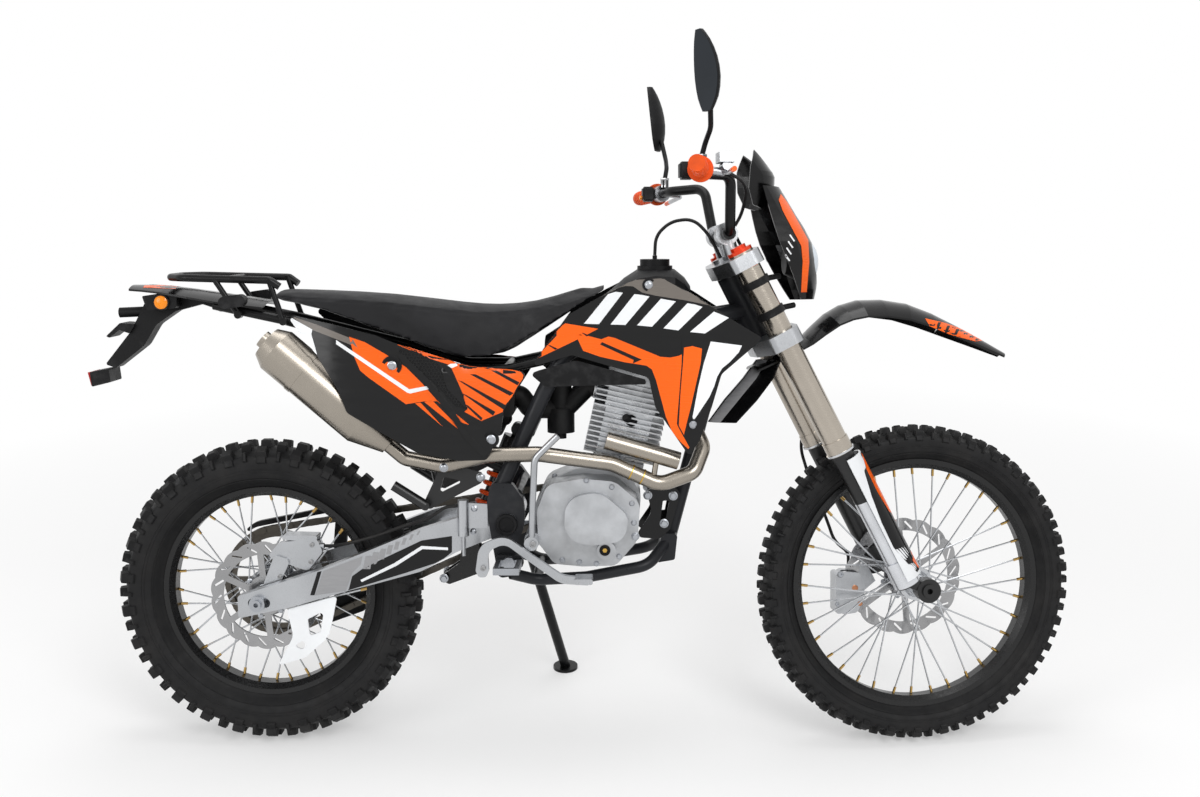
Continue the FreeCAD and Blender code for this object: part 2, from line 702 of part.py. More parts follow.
def main_frame():
    """Head tube, twin spars, down tube, lower cradle and the castings that hold the swingarm."""
    low = LOWER_CLAMP_HEIGHT + CLAMP_THICKNESS / 2 + HEAD_CLEARANCE
    high = UPPER_CLAMP_HEIGHT - CLAMP_THICKNESS / 2 - HEAD_CLEARANCE
    head = cylinder(head_centre(low), head_centre(high), HEAD_TUBE_RADIUS)
    mid = head_centre((low + high) / 2)
    foot = head_centre(low + 60)
    spar = tube([(mid.x - 4, -12, mid.z - 10), (880, -84, 925), (668, -SPAR_SPREAD, 878),
                 (619, -SPAR_SPREAD, 787), (523, -SPAR_SPREAD, 579)], SPAR_RADIUS, [0, 90, 60, 160, 0])
    casting = plate([(508, 600, 10), (552, 598, 12), (574, 566, 12), (578, 530, 20), (574, 496, 24),
                     (556, 462, 20),
                     (566, 400, 10), (520, 392, 12), (508, 470, 30), (500, 520, 30), (498, 560, 30)],
                    -SPAR_SPREAD - 22, -SPAR_SPREAD + 2)
    down = tube([(foot.x + 4, 0, foot.z - 4), (985, 0, 820), (884, 0, 436)], 16.0, [0, 120, 0])
    shoe = plate([(858, 405, 6), (900, 412, 6), (906, 470, 8), (872, 470, 8)], -44, 44)
    cradle = tube([(882, -30, 450), (842, -CRADLE_SPREAD + 6, 410), (708, -CRADLE_SPREAD, 386),
                   (600, -CRADLE_SPREAD, 380),
                   (546, -SPAR_SPREAD - 10, 400)], CRADLE_RADIUS, [0, 50, 60, 60, 0])
    gusset = plate([(1000, 960, 10), (915, 905, 20), (960, 800, 20), (985, 790, 10), (1036, 912, 10)], -7, 7)
    cross_low = cylinder(V(600, -CRADLE_SPREAD, 380), V(600, CRADLE_SPREAD, 380), 11.0)
    cross_pivot = cylinder(V(561, -SPAR_SPREAD, 573), V(561, SPAR_SPREAD, 573), 10.0)
    cross_shock = cross_pin(SHOCK_CROSS[0], SHOCK_CROSS[1], -SPAR_SPREAD, SPAR_SPREAD, 11.0)
    lug = strap(SHOCK_CROSS, SHOCK_TOP, 10.0, -22, -15 - SEAT_GAP)
    shock_pin = cross_pin(SHOCK_TOP[0], SHOCK_TOP[1], -22, 22, 6.0)
    bracket = plate([(516, 448, 6), (572, 448, 8), (576, 422, 6), (518, 420, 6)], -SPAR_SPREAD - 44,
                    -SPAR_SPREAD - 20)
    pieces = [head, gusset, down, shoe, cross_low, cross_pivot, cross_shock, shock_pin] + stand_bracket()
    for piece in (spar, casting, cradle, bracket, lug):
        pieces += both_sides(piece)
    frame = fuse(pieces)
    stem = cylinder(head_centre(low - 5), head_centre(high + 5), STEM_RADIUS + HEAD_CLEARANCE)
    bore = cross_pin(PIVOT[0], PIVOT[1], -SPAR_SPREAD - 40, SPAR_SPREAD + 40, AXLE_RADIUS + RUNNING_GAP)
    return frame.cut(stem).cut(bore)


def engine_plates():
    """Drilled plates that hang the engine's nose from the down tube."""
    outline = [(812, 464, 10), (866, 460, 10), (890, 482, 14), (912, 560, 12), (902, 574, 12),
               (836, 572, 12), (850, 520, 30)]
    side = plate(outline, -50, -46)
    window = plate([(868, 500, 3), (880, 505, 3), (888, 545, 3), (874, 545, 3)], -60, -40)
    return Part.makeCompound(both_sides(side.cut(window)))


def crankcase():
    """The cases with the clutch cover to the right and the ignition cover to the left."""
    body = plate([(598, 452, 24), (640, 420, 26), (770, 416, 30), (818, 470, 40), (826, 556, 34),
                  (800, 612, 20), (690, 618, 40), (620, 590, 40), (592, 530, 40)], -CRANKCASE_HALF_WIDTH,
                 CRANKCASE_HALF_WIDTH)
    clutch = plate([(606, 470, 30), (640, 424, 26), (700, 418, 20), (772, 420, 26), (818, 474, 30),
                    (824, 556, 34), (770, 602, 40), (700, 608, 40), (626, 596, 30), (604, 540, 40)],
                   -CLUTCH_COVER_FACE, -CRANKCASE_HALF_WIDTH + 1)
    oval = plate([(662, 480, 44), (720, 468, 50), (790, 476, 36), (800, 530, 30), (740, 584, 54),
                  (666, 570, 44)],
                 -OVAL_COVER_FACE, -CLUTCH_COVER_FACE + 1)
    plug = cross_pin(752, 455, -OVAL_COVER_FACE + 6, -CLUTCH_COVER_FACE + 1, 20.0)
    ignition = cross_pin(745, 512, CRANKCASE_HALF_WIDTH - 1, IGNITION_COVER_FACE, 72.0)
    base = tilted_block(0, 26, 112, 112)
    kick_boss = cross_pin(594, 477, -CLUTCH_COVER_FACE - 8, -CLUTCH_COVER_FACE + 70, 17.0)
    return fuse([body, clutch, oval, plug, ignition, base, kick_boss])


def cylinder_point(along, forward=0.0, side=0.0):
    tilt = math.radians(CYLINDER_TILT)
    x = CYLINDER_BASE[0] + along * math.sin(tilt) + forward * math.cos(tilt)
    z = CYLINDER_BASE[1] + along * math.cos(tilt) - forward * math.sin(tilt)
    return V(x, side, z)


def tilted_block(start, end, length, width, forward=0.0):
    """A block square to the cylinder's axis, between two heights above its base."""
    box = Part.makeBox(length, width, end - start, V(-length / 2 + forward, -width / 2, start))
    box.rotate(V(0, 0, 0), V(0, 1, 0), CYLINDER_TILT)
    box.translate(V(CYLINDER_BASE[0], 0, CYLINDER_BASE[1]))
    return box


def barrel_top():
    return 26.0 + SEAT_GAP + BARREL_FINS * FIN_PITCH + 6.0


def head_top():
    return barrel_top() + SEAT_GAP + HEAD_FINS * FIN_PITCH + 34.0


def port_height():
    return (barrel_top() + SEAT_GAP + head_top()) / 2 - 14


def barrel():
    """The finned cylinder barrel."""
    start = 26.0 + SEAT_GAP
    core = tilted_block(start, barrel_top(), 104, 104)
    fins = []
    for i in range(BARREL_FINS):
        low = start + 6.0 + i * FIN_PITCH
        fins.append(tilted_block(low, low + FIN_THICKNESS, FIN_LENGTH, FIN_WIDTH))
    return fuse([core] + fins)


def cylinder_head():
    """The finned head with its rocker cover, intake stub and exhaust port."""
    start = barrel_top() + SEAT_GAP
    top = head_top()
    core = tilted_block(start, top - 30, 110, 108)
    cover = tilted_block(top - 34, top, 126, 92)
    fins = []
    for i in range(HEAD_FINS):
        low = start + 3.0 + i * FIN_PITCH
        fins.append(tilted_block(low, low + FIN_THICKNESS, FIN_LENGTH, FIN_WIDTH))
    mid = port_height()
    intake = cylinder(cylinder_point(mid, -50), cylinder_point(mid, -INTAKE_REACH), 24.0)
    port = cylinder(cylinder_point(mid - 6, 50, PORT_SIDE), cylinder_point(mid - 6, EXHAUST_REACH,
                                                                           PORT_SIDE), 24.0)
    return fuse([core, cover, intake, port] + fins)


def carburettor():
    """A slide carburettor with its float bowl, between the intake boots."""
    x, z = CARB
    mouth = cylinder_point(port_height(), -INTAKE_REACH - SEAT_GAP)
    knee = cylinder_point(port_height(), -INTAKE_REACH - 16)
    throat = tube([tuple(mouth), tuple(knee), (x + 10, 0, z), (x - 46, 0, z)], 22.0, [0, 10, 10, 0])
    slide = cylinder(V(x, 0, z), V(x, 0, z + 62), 24.0)
    bowl = cylinder(V(x, 0, z - 52), V(x, 0, z + 2), 30.0)
    nut = cylinder(V(x, 0, z - 66), V(x, 0, z - 50), 12.0)
    return fuse([throat, slide, bowl, nut])


def airbox():
    """The box behind the carburettor, with its intake mouth."""
    box = plate([(372, 742, 14), (552, 732, 10), (556, 800, 10), (530, 824, 14), (400, 820, 14)], -62, 62)
    duct = tube([(540, 0, 772), (562, 0, 772), (584, 0, CARB[1]), (CARB[0] - 46 - SEAT_GAP, 0, CARB[1])],
                22.0, [0, 14, 14, 0])
    return fuse([box, duct])


def exhaust_header():
    """The pipe from the port round the right of the engine, with its closed side chamber."""
    mid = port_height() - 6
    port = cylinder_point(mid, EXHAUST_REACH + SEAT_GAP, PORT_SIDE)
    out = cylinder_point(mid, EXHAUST_REACH + 32, PORT_SIDE)
    joint = silencer_front()
    beside = SPAR_SPREAD + SPAR_RADIUS + HEADER_RADIUS + 2.5
    pipe = tube([tuple(port), tuple(out), (960, -84, 668), (938, -118, 620), (866, -122, 594),
                 (764, -128, 641), (613, -beside, 664), (500, -beside, 662), (410, -beside, 640),
                 tuple(joint + silencer_axis() * 44), tuple(joint)],
                HEADER_RADIUS, [0, 22, 34, 28, 50, 80, 80, 80, 60, 26, 0])
    chamber = cylinder(V(752, -122, 690), V(906, -116, 644), 19.0)
    bridge = cylinder(V(860, -120, 655), V(852, -121, 605), 6.0)
    return fuse([pipe, chamber, bridge])


def silencer_axis():
    return V(0.755, 0, -0.656)


def silencer_back():
    return V(40, -SILENCER_LINE, 902)


def silencer_front():
    return silencer_back() + silencer_axis() * 335


def silencer():
    """A tapered can with a coned end cap and an open outlet."""
    back = silencer_back()
    axis = silencer_axis()
    can = cylinder(back + axis * 26, back + axis * 262, SILENCER_RADIUS)
    tail = cone(back, back + axis * 26, SILENCER_RADIUS - 14, SILENCER_RADIUS)
    nose = cone(back + axis * 262, back + axis * 335 - axis * SEAT_GAP, SILENCER_RADIUS, HEADER_RADIUS + 5)
    outlet = cylinder(back - axis * 12, back + axis * 30, 19.0)
    hole = cylinder(back - axis * 14, back + axis * 40, 15.0)
    strap = cylinder(back + axis * 90, back + axis * 102, SILENCER_RADIUS + 1.5)
    return fuse([can, tail, nose, outlet, strap]).cut(hole)


def subframe():
    """The tubes that carry the seat and the tail."""
    beside = SPAR_SPREAD - SPAR_RADIUS - SUBFRAME_RADIUS - SEAT_GAP
    upper = tube([(652, -beside, 862), (540, -beside, 838), (440, -beside, 838), (290, -76, 884),
                  (60, -66, 944), (-90, -58, 976)],
                 SUBFRAME_RADIUS, [0, 60, 60, 120, 120, 0])
    lower = tube([(538, -beside, 616), (470, -78, 650), (190, -70, 850), (100, -67, 928)], SUBFRAME_RADIUS,
                 [0, 60, 120, 0])
    back = cross_pin(*TAIL_TUBE, -59, 59, SUBFRAME_RADIUS)
    front = cylinder(V(540, -beside, 838), V(540, beside, 838), SUBFRAME_RADIUS)
    pieces = [back, front]
    for piece in (upper, lower):
        pieces += both_sides(piece)
    return fuse(pieces)


def rear_shock():
    """The shock's body and coil, from its link up to the frame."""
    low = V(SHOCK_LOW[0], 0, SHOCK_LOW[1])
    top = V(SHOCK_TOP[0], 0, SHOCK_TOP[1])
    axis = (top - low).normalize()
    eye = cylinder(V(low.x, -15, low.z), V(low.x, 15, low.z), 14.0)
    shaft = cylinder(low, top, 8.0)
    coil = cylinder(low + axis * 38, low + axis * 210, 29.0)
    body = cylinder(low + axis * 209, top - axis * 20, 24.0)
    eye_top = cylinder(V(top.x, -15, top.z), V(top.x, 15, top.z), 14.0)
    shock = fuse([eye, shaft, coil, body, eye_top])
    for x, z in (SHOCK_LOW, SHOCK_TOP):
        shock = shock.cut(cross_pin(x, z, -40, 40, 6.0 + SEAT_GAP))
    return shock


def shock_linkage():
    """The rocker and pull rod under the swingarm."""
    rocker = plate([(376, 366, 8), (400, 352, 8), (486, 384, 8), (464, 450, 8), (432, 450, 8),
                    (424, 400, 12)], 15 + SEAT_GAP, 24)
    bolt = cross_pin(392, 368, -34, 34, 7.0)
    pin = cross_pin(SHOCK_LOW[0], SHOCK_LOW[1], -24, 24, 6.0)
    return fuse(both_sides(rocker) + [bolt, pin])


def seat():
    """A long flat pad that narrows and climbs toward the tank."""
    stations = [
        (36, 990, 1007, 70, 62, 8),
        (150, 966, 1003, 96, 84, 10),
        (290, 916, 994, SEAT_HALF_WIDTH, 94, 12),
        (440, 864, 976, SEAT_HALF_WIDTH - 4, 88, 12),
        (520, 866, 971, 98, 76, 12),
        (600, 910, 978, 80, 62, 12),
        (680, 962, 1000, 60, 50, 12),
        (750, 1006, 1020, 44, 38, 7),
    ]
    return skinned(saddle_section, stations)


def fuel_tank():
    """The tank between the shrouds, shaped to sit astride the spars."""
    stations = [
        (620, 880, 904, 58, 44, 10),
        (700, 900, 956, 64, 56, 14),
        (764, 930, 1003, 92, 66, 20),
        (820, 938, 1046, 104, 74, 18),
        (900, 950, 1046, 88, 62, 16),
        (934, 968, 1010, 52, 40, 12),
    ]
    body = skinned(saddle_section, stations)
    neck = cylinder(V(FILLER[0], 0, FILLER[1]), V(FILLER[0], 0, FILLER[1] + 60), 40.0)
    return body.cut(neck)


def fuel_cap():
    centre = V(FILLER[0], 0, FILLER[1] + SEAT_GAP)
    base = cylinder(centre, centre + V(0, 0, 8), 38.0)
    knob = cylinder(centre + V(0, 0, 7), centre + V(0, 0, 22), 32.0)
    spout = cylinder(centre + V(0, 0, 20), centre + V(0, 0, 30), 5.0)
    return fuse([base, knob, spout])


def tank_shrouds():
    """The pair of panels that run from the seat past the tank to their forward tips."""
    outline = [(594, 846, 6), (682, 872, 12), (842, 826, 14), (856, 764, 10), (926, 664, 6), (948, 700, 20),
               (972, 768, 20),
               (992, 836, 20), (1028, 868, 10), (1076, 910, 6), (1022, 942, 20), (946, 992, 30),
               (873, 1032, 12), (812, 1028, 20), (750, 998, 30), (675, 956, 20)]
    plan = [(560, -150), (700, -154), (820, -164), (920, -180), (1000, -200), (1100, -212)]
    right = bent_panel(outline, plan, PANEL_THICKNESS, 640, 420, 36)
    return Part.makeCompound(both_sides(right))


def lower_covers():
    """The dark mouldings under the shrouds, beside the carburettor."""
    outline = [(594, 833, 6), (625, 806, 12), (838, 811, 4), (835, 821, 3), (690, 861, 30), (612, 840, 8)]
    plan = [(580, -138), (700, -139), (860, -147)]
    right = bent_panel(outline, plan, 6.0, 780, 110, 4)
    return Part.makeCompound(both_sides(right))


def side_panels():
    """The pair of panels under the seat, from the frame back over the silencer."""
    outline = [(80, 962, 8), (190, 940, 60), (276, 918, 20), (315, 902, 20), (466, 851, 40), (590, 838, 10),
               (539, 759, 20), (533, 715, 20), (504, 656, 12), (446, 656, 20), (363, 674, 40), (216, 759, 20),
               (199, 803, 20), (150, 880, 40)]
    plan = [(40, -142), (160, -194), (260, -202), (400, -188), (500, -172), (620, -158)]
    right = bent_panel(outline, plan, PANEL_THICKNESS, 640, 340, 44)
    return Part.makeCompound(both_sides(right))


def rear_fender():
    """The tail from under the seat to its drooping tip."""
    stations = [
        (20, 984, -6, 74, 12),
        (-84, 1000, -6, 76, 15),
        (-200, 1016, -2, 66, 11),
        (-280, 1019, 4, 40, 8),
    ]
    return skinned(crowned_section, stations)


def tail_rack():
    """The grab rail and carrier over the tail."""
    loop = tube([(60, -84, 1016), (40, -88, 1030), (-150, -78, 1036), (-188, -40, 1036), (-188, 40, 1036),
                 (-150, 78, 1036), (40, 88, 1030), (60, 84, 1016)], 8.0, [0, 10, 34, 26, 26, 34, 10, 0])
    bar = cylinder(V(-60, -80, 1033), V(-60, 80, 1033), 6.0)
    posts = []
    for top_x, low_x, low_z, rail_y in ((-80, -30, 957, 62), (36, 66, 942, 67)):
        foot = V(low_x, -RACK_POST_SIDE, low_z)
        posts += both_sides(cylinder(V(top_x, 2 - RACK_POST_SIDE, 1034), foot, RACK_POST_RADIUS))
        posts += both_sides(cylinder(foot + V(0, -6, 0), V(low_x, -rail_y - SUBFRAME_RADIUS - 1, low_z), 8.0))
    return fuse([loop, bar] + posts)


def plate_bracket():
    """The drooping arm under the tail, hung from the subframe, with its lamp housing and plate tip."""
    x, z = TAIL_TUBE
    eye = cross_pin(x, z, -22, 22, SUBFRAME_RADIUS + 5.5)
    link = plate([(x + 4, z - 14, 2), (x + 4, z + 14, 2), (-130, 991, 2), (-130, 978, 2)], -22, 22)
    arm = plate([(-117, 991, 2), (-222, 1002, 10), (-253, 978, 14), (-284, 920, 30), (-345, 846, 4),
                 (-322, 838, 4), (-257, 887, 30), (-229, 932, 30), (-184, 962, 20), (-117, 979, 2)], -22, 22)
    housing = plate([(-246, 997, 3), (-170, 999, 3), (-172, 970, 6), (-236, 966, 6)], -56, 56)
    lamp = cylinder(V(-240, 0, 961), V(-315, 0, 958), 11.0)
    hook = plate([(-272, 934, 3), (-306, 937, 3), (-338, 908, 2), (-330, 905, 2), (-308, 922, 8),
                  (-286, 914, 3)], -30, 30)
    tip = plate([(-376, 830, 3), (-334, 838, 3), (-331, 808, 3), (-373, 798, 3)], -34, 34)
    holes = [cylinder(V(-352, y, 790), V(-352, y, 850), PLATE_HOLE_RADIUS) for y in (-26, 26)]
    body = fuse([eye, link, arm, housing, lamp, hook, tip])
    return body.cut(cross_pin(*TAIL_TUBE, -40, 40, SUBFRAME_RADIUS + SEAT_GAP)).cut(Part.makeCompound(holes))


def side_reflectors():
    """The round reflectors on both ends of the lamp housing."""
    return both_sides(cross_pin(-203, 983, -62, -56 - SEAT_GAP, 17.0))


def rear_indicators():
    """The turn lamps on short stalks, carried by the rear posts of the rack."""
    stalk = cross_pin(-45.6, 981, -102, -RACK_POST_SIDE - RACK_POST_RADIUS - SEAT_GAP, 6.5)
    body = strap((-48, 985), (-18, 989), 13.0, -126, -99)
    return both_sides(fuse([stalk, body]))


def inner_fender():
    """The guard ahead of the rear tyre."""
    stations = [
        (372, 560, 100, 46, 8),
        (345, 660, 112, 52, 10),
        (270, 780, 140, 52, 10),
        (160, 880, 160, 52, 8),
    ]
    return skinned(crowned_section, stations)


def chain_guard():
    """The blade over the chain's upper run and the guide round its lower run."""
    blade = plate([(-150, 392, 4), (-60, 470, 60), (60, 494, 60), (180, 520, 10), (188, 506, 6),
                   (60, 482, 60), (-60, 458, 60)],
                  CHAIN_LINE + 12, CHAIN_LINE + 26)
    guide = plate([(90, 226, 8), (190, 262, 10), (196, 330, 6), (150, 330, 6), (84, 262, 8)],
                  CHAIN_LINE + 12, CHAIN_LINE + 18)
    hanger = plate([(140, 320, 4), (190, 320, 4), (190, 376, 4), (140, 376, 4)], CHAIN_LINE + 12,
                   ARM_OUTER - ARM_THICKNESS - SEAT_GAP)
    post = plate([(120, 408, 3), (150, 416, 3), (160, 506, 3), (130, 502, 3)], CHAIN_LINE + 12 ,
                 CHAIN_LINE + 26)
    return Part.makeCompound([fuse([blade, post]), fuse([guide, hanger])])


def rear_caliper():
    """The caliper that straddles the rear disc, on its hanger over the axle."""
    y = -DISC_OFFSET
    half = DISC_THICKNESS / 2 + CALIPER_GAP
    outer = plate([(12, 430, 8), (100, 398, 10), (134, 440, 12), (122, 470, 10), (40, 462, 12)],
                  y - half - 14, y - half)
    inner = plate([(40, 440, 8), (100, 412, 10), (130, 444, 12), (120, 468, 10), (50, 460, 12)], y + half,
                  y + half + 12)
    bridge = plate([(46, 468, 3), (120, 462, 3), (124, 476, 4), (48, 478, 4)], y - half - 14,
                   y + half + 12)
    hanger = plate([(-16, 322, 12), (16, 322, 12), (64, 424, 10), (30, 436, 10)], y - half - 20,
                   y - half - 14 + 1)
    eye = cross_pin(0, REAR_AXLE.z, y - half - 20, y - half - 13, 20)
    hole = cross_pin(0, REAR_AXLE.z, y - half - 40, y, AXLE_RADIUS + 5 + RUNNING_GAP)
    banjo = cylinder(V(112, y - 12, 452), V(REAR_CALIPER_FACE, y - 12, 452), 6.5)
    return fuse([outer, inner, bridge, hanger, eye, banjo]).cut(hole)


def disc_guard():
    """The fin under the right arm that shields the disc."""
    fin = plate([(60, 322, 8), (170, 352, 6), (150, 262, 60), (96, 214, 40), (36, 196, 4), (72, 262, 30)],
                -ARM_OUTER + 8, -ARM_OUTER + 13)
    a = plate([(104, 300, 5), (140, 318, 6), (132, 272, 8), (108, 262, 6)], -ARM_OUTER, -ARM_OUTER + 20)
    b = plate([(72, 240, 5), (98, 256, 6), (96, 230, 8)], -ARM_OUTER, -ARM_OUTER + 20)
    return fin.cut(a).cut(b)


def brake_pedal():
    """The forged S-shaped pedal on the right."""
    upper = [(478, 424, 10), (486, 478, 36), (540, 500, 40), (596, 458, 60), (660, 414, 40), (716, 406, 4),
             (716, 392, 4),
             (656, 396, 50), (590, 444, 50), (540, 482, 26), (504, 466, 24), (506, 424, 10), (500, 410, 8),
             (484, 410, 8)]
    lever = plate(upper, -188, -176)
    pad = plate([(686, 398, 4), (724, 398, 4), (724, 410, 4), (686, 410, 4)], -206, -160)
    pivot = cross_pin(492, 422, -176 - 12, -SPAR_SPREAD - 44 - SEAT_GAP, 9.0)
    return fuse([lever, pad, pivot])


def footpegs():
    """Toothed pegs on their brackets."""
    deck = Part.makeBox(54, 82, 14, V(519, -238, 427))
    slot = Part.makeBox(34, 66, 20, V(529, -230, 424))
    root = cross_pin(546, 434, -SPAR_SPREAD - 62, -SPAR_SPREAD - 44 - SEAT_GAP, 13.0)
    return Part.makeCompound(both_sides(fuse([deck.cut(slot), root])))


def passenger_pegs():
    """Folded rear pegs on their triangular brackets."""
    bracket = plate([(406, 646, 10), (494, 618, 10), (486, 598, 8), (372, 540, 8), (362, 556, 8)],
                    -SPAR_SPREAD - 14, -SPAR_SPREAD - 8)
    window = plate([(406, 612, 4), (448, 602, 4), (396, 576, 4)], -SPAR_SPREAD - 30, -SPAR_SPREAD)
    peg = cylinder(V(368, -SPAR_SPREAD - 26, 552), V(300, -SPAR_SPREAD - 26, 596), 11.0)
    hinge = cylinder(V(368, -SPAR_SPREAD - 35, 552), V(368, -SPAR_SPREAD - 10, 552), 9.0)
    return Part.makeCompound(both_sides(fuse([bracket.cut(window), peg, hinge])))


def master_cylinder():
    """The rear brake's pump, upright behind the right casting."""
    body = cylinder(V(446, -SPAR_SPREAD - 14, 484), V(446, -SPAR_SPREAD - 14, 562), PUMP_RADIUS)
    lug = plate([(440, 500, 4), (497.8, 500, 2), (497.8, 552, 2), (440, 556, 6)], -SPAR_SPREAD - 12,
                -SPAR_SPREAD - 4)
    rod = cylinder(V(446, -SPAR_SPREAD - 14, 440), V(446, -SPAR_SPREAD - 14, 486), 4.0)
    return fuse([body, lug, rod])


def kick_starter():
    """The folded kick lever on the right of the engine."""
    y = -OVAL_COVER_FACE - 8
    boss = cross_pin(594, 477, y - 14, -CLUTCH_COVER_FACE - 8 - SEAT_GAP, 15.0)
    arm = tube([(594, y - 4, 477), (598, y - 16, 560), (604, y - 22, 660), (653, y - 24, 708)], 7.0,
               [0, 60, 30, 0])
    return fuse([boss, arm])


def gear_lever():
    """The shift lever on the left."""
    y = CLUTCH_COVER_FACE
    boss = cross_pin(668, 450, CRANKCASE_HALF_WIDTH + SEAT_GAP, y + 14, 9.0)
    arm = tube([(668, y + 8, 450), (740, y + 30, 446), (812, y + 34, 440)], 6.0, [0, 60, 0])
    tip = cylinder(V(810, y + 24, 440), V(810, y + 56, 440), 9.0)
    return fuse([boss, arm, tip])


def fork_leg_point(along, side):
    return steer_place(along, CLAMP_OFFSET, side)


def fork_tubes():
    """The thick upper tubes held in both clamps, each with its collar."""
    legs = []
    for side in (-FORK_SPREAD, FORK_SPREAD):
        body = cylinder(fork_leg_point(FORK_COLLAR_HEIGHT + 26, side), fork_leg_point(FORK_TOP, side),
                        FORK_TUBE_RADIUS)
        collar = cylinder(fork_leg_point(FORK_COLLAR_HEIGHT, side),
                          fork_leg_point(FORK_COLLAR_HEIGHT + 32, side), FORK_LEG_RADIUS)
        cap = cylinder(fork_leg_point(FORK_TOP - 1, side), fork_leg_point(FORK_TOP + 8, side), 17.0)
        legs.append(fuse([body, collar, cap]))
    return Part.makeCompound(legs)


def fork_lowers():
    """The polished sliders and the axle lugs that step forward from them."""
    legs = []
    for side in (-FORK_SPREAD, FORK_SPREAD):
        slider = cylinder(fork_leg_point(30, side), fork_leg_point(FORK_COLLAR_HEIGHT - SEAT_GAP, side),
                          FORK_SLIDER_RADIUS)
        boot = cylinder(fork_leg_point(34, side), fork_leg_point(92, side), FORK_LEG_RADIUS)
        face = side / abs(side)
        lug = cylinder(FRONT_AXLE + V(0, side - face * 14, 0), FRONT_AXLE + V(0, side + face * 14, 0), 26.0)
        web = cylinder(fork_leg_point(44, side), FRONT_AXLE + V(0, side, 0), 12.5)
        leg = fuse([slider, boot, lug, web])
        bore = cylinder(FRONT_AXLE + V(0, side - 40, 0), FRONT_AXLE + V(0, side + 40, 0),
                        AXLE_RADIUS + RUNNING_GAP)
        legs.append(leg.cut(bore))
    return Part.makeCompound(legs)


def front_axle():
    rod = cylinder(FRONT_AXLE + V(0, -FRONT_AXLE_END, 0), FRONT_AXLE + V(0, FRONT_AXLE_END, 0), AXLE_RADIUS)
    seat = FORK_SPREAD + 14 + SEAT_GAP
    heads = [cylinder(FRONT_AXLE + V(0, s * seat, 0), FRONT_AXLE + V(0, s * (seat + 5), 0),
                      15.0) for s in (-1, 1)]
    inner = FORK_SPREAD - 14 - SEAT_GAP
    spacers = []
    for s in (-1, 1):
        spacers.append(ring([(s * inner, AXLE_RADIUS - 1), (s * inner, 15), (s * (inner - 10), 15),
                             (s * (inner - 10), AXLE_RADIUS - 1)], FRONT_AXLE))
    bore = cylinder(FRONT_AXLE + V(0, -FRONT_AXLE_END - 3, 0),
                    FRONT_AXLE + V(0, -FRONT_AXLE_END + AXLE_HOLE_DEPTH, 0), 6.0)
    return fuse([rod] + heads + spacers).cut(bore)


def fork_guards():
    """The curved shields in front of the sliders."""
    guards = []
    for side in (-FORK_SPREAD, FORK_SPREAD):
        low = fork_leg_point(48, side)
        outer = cylinder(low, fork_leg_point(FORK_COLLAR_HEIGHT - 14, side), FORK_LEG_RADIUS + 9)
        inner = cylinder(low - STEER_UP, fork_leg_point(FORK_COLLAR_HEIGHT, side), FORK_LEG_RADIUS + 5)
        half = Part.makeBox(120, 200, 600, V(-120 - 4, -100, -60))
        half.rotate(V(0, 0, 0), V(0, 1, 0), -RAKE)
        half.translate(fork_leg_point(0, side))
        inside = Part.makeBox(400, 60, 600, V(1150, side - 18 - 60, 300))
        if side < 0:
            inside = mirrored(Part.makeBox(400, 60, 600, V(1150, -side - 18 - 60, 300)))
        shell = outer.cut(inner).cut(half).cut(inside)
        foot = cylinder(fork_leg_point(56, side), fork_leg_point(64, side), FORK_LEG_RADIUS + 6)
        ring_hole = cylinder(fork_leg_point(50, side), fork_leg_point(70, side), FORK_LEG_RADIUS + SEAT_GAP)
        foot = foot.cut(ring_hole).cut(half).cut(inside)
        guards.append(fuse([shell, foot]))
    return Part.makeCompound(guards)


def clamp(height, thickness):
    """One yoke: a plate that grips both fork tubes round the stem."""
    corners = [(-34, -38, 18), (-14, -FORK_SPREAD - 40, 14), (CLAMP_OFFSET + 34, -FORK_SPREAD - 40, 24),
               (CLAMP_OFFSET + 40, -44, 20), (CLAMP_OFFSET + 14, 0, 60), (CLAMP_OFFSET + 40, 44, 20),
               (CLAMP_OFFSET + 34, FORK_SPREAD + 40, 24), (-14, FORK_SPREAD + 40, 14), (-34, 38, 18)]
    body = face_xy(corners, 0).extrude(V(0, 0, thickness))
    for side in (-FORK_SPREAD, FORK_SPREAD):
        body = body.cut(Part.makeCylinder(FORK_TUBE_RADIUS + SEAT_GAP, thickness + 20,
                                          V(CLAMP_OFFSET, side, -10)))
    body.rotate(V(0, 0, 0), V(0, 1, 0), -RAKE)
    body.translate(STEER_FOOT + STEER_UP * (height - thickness / 2))
    return body


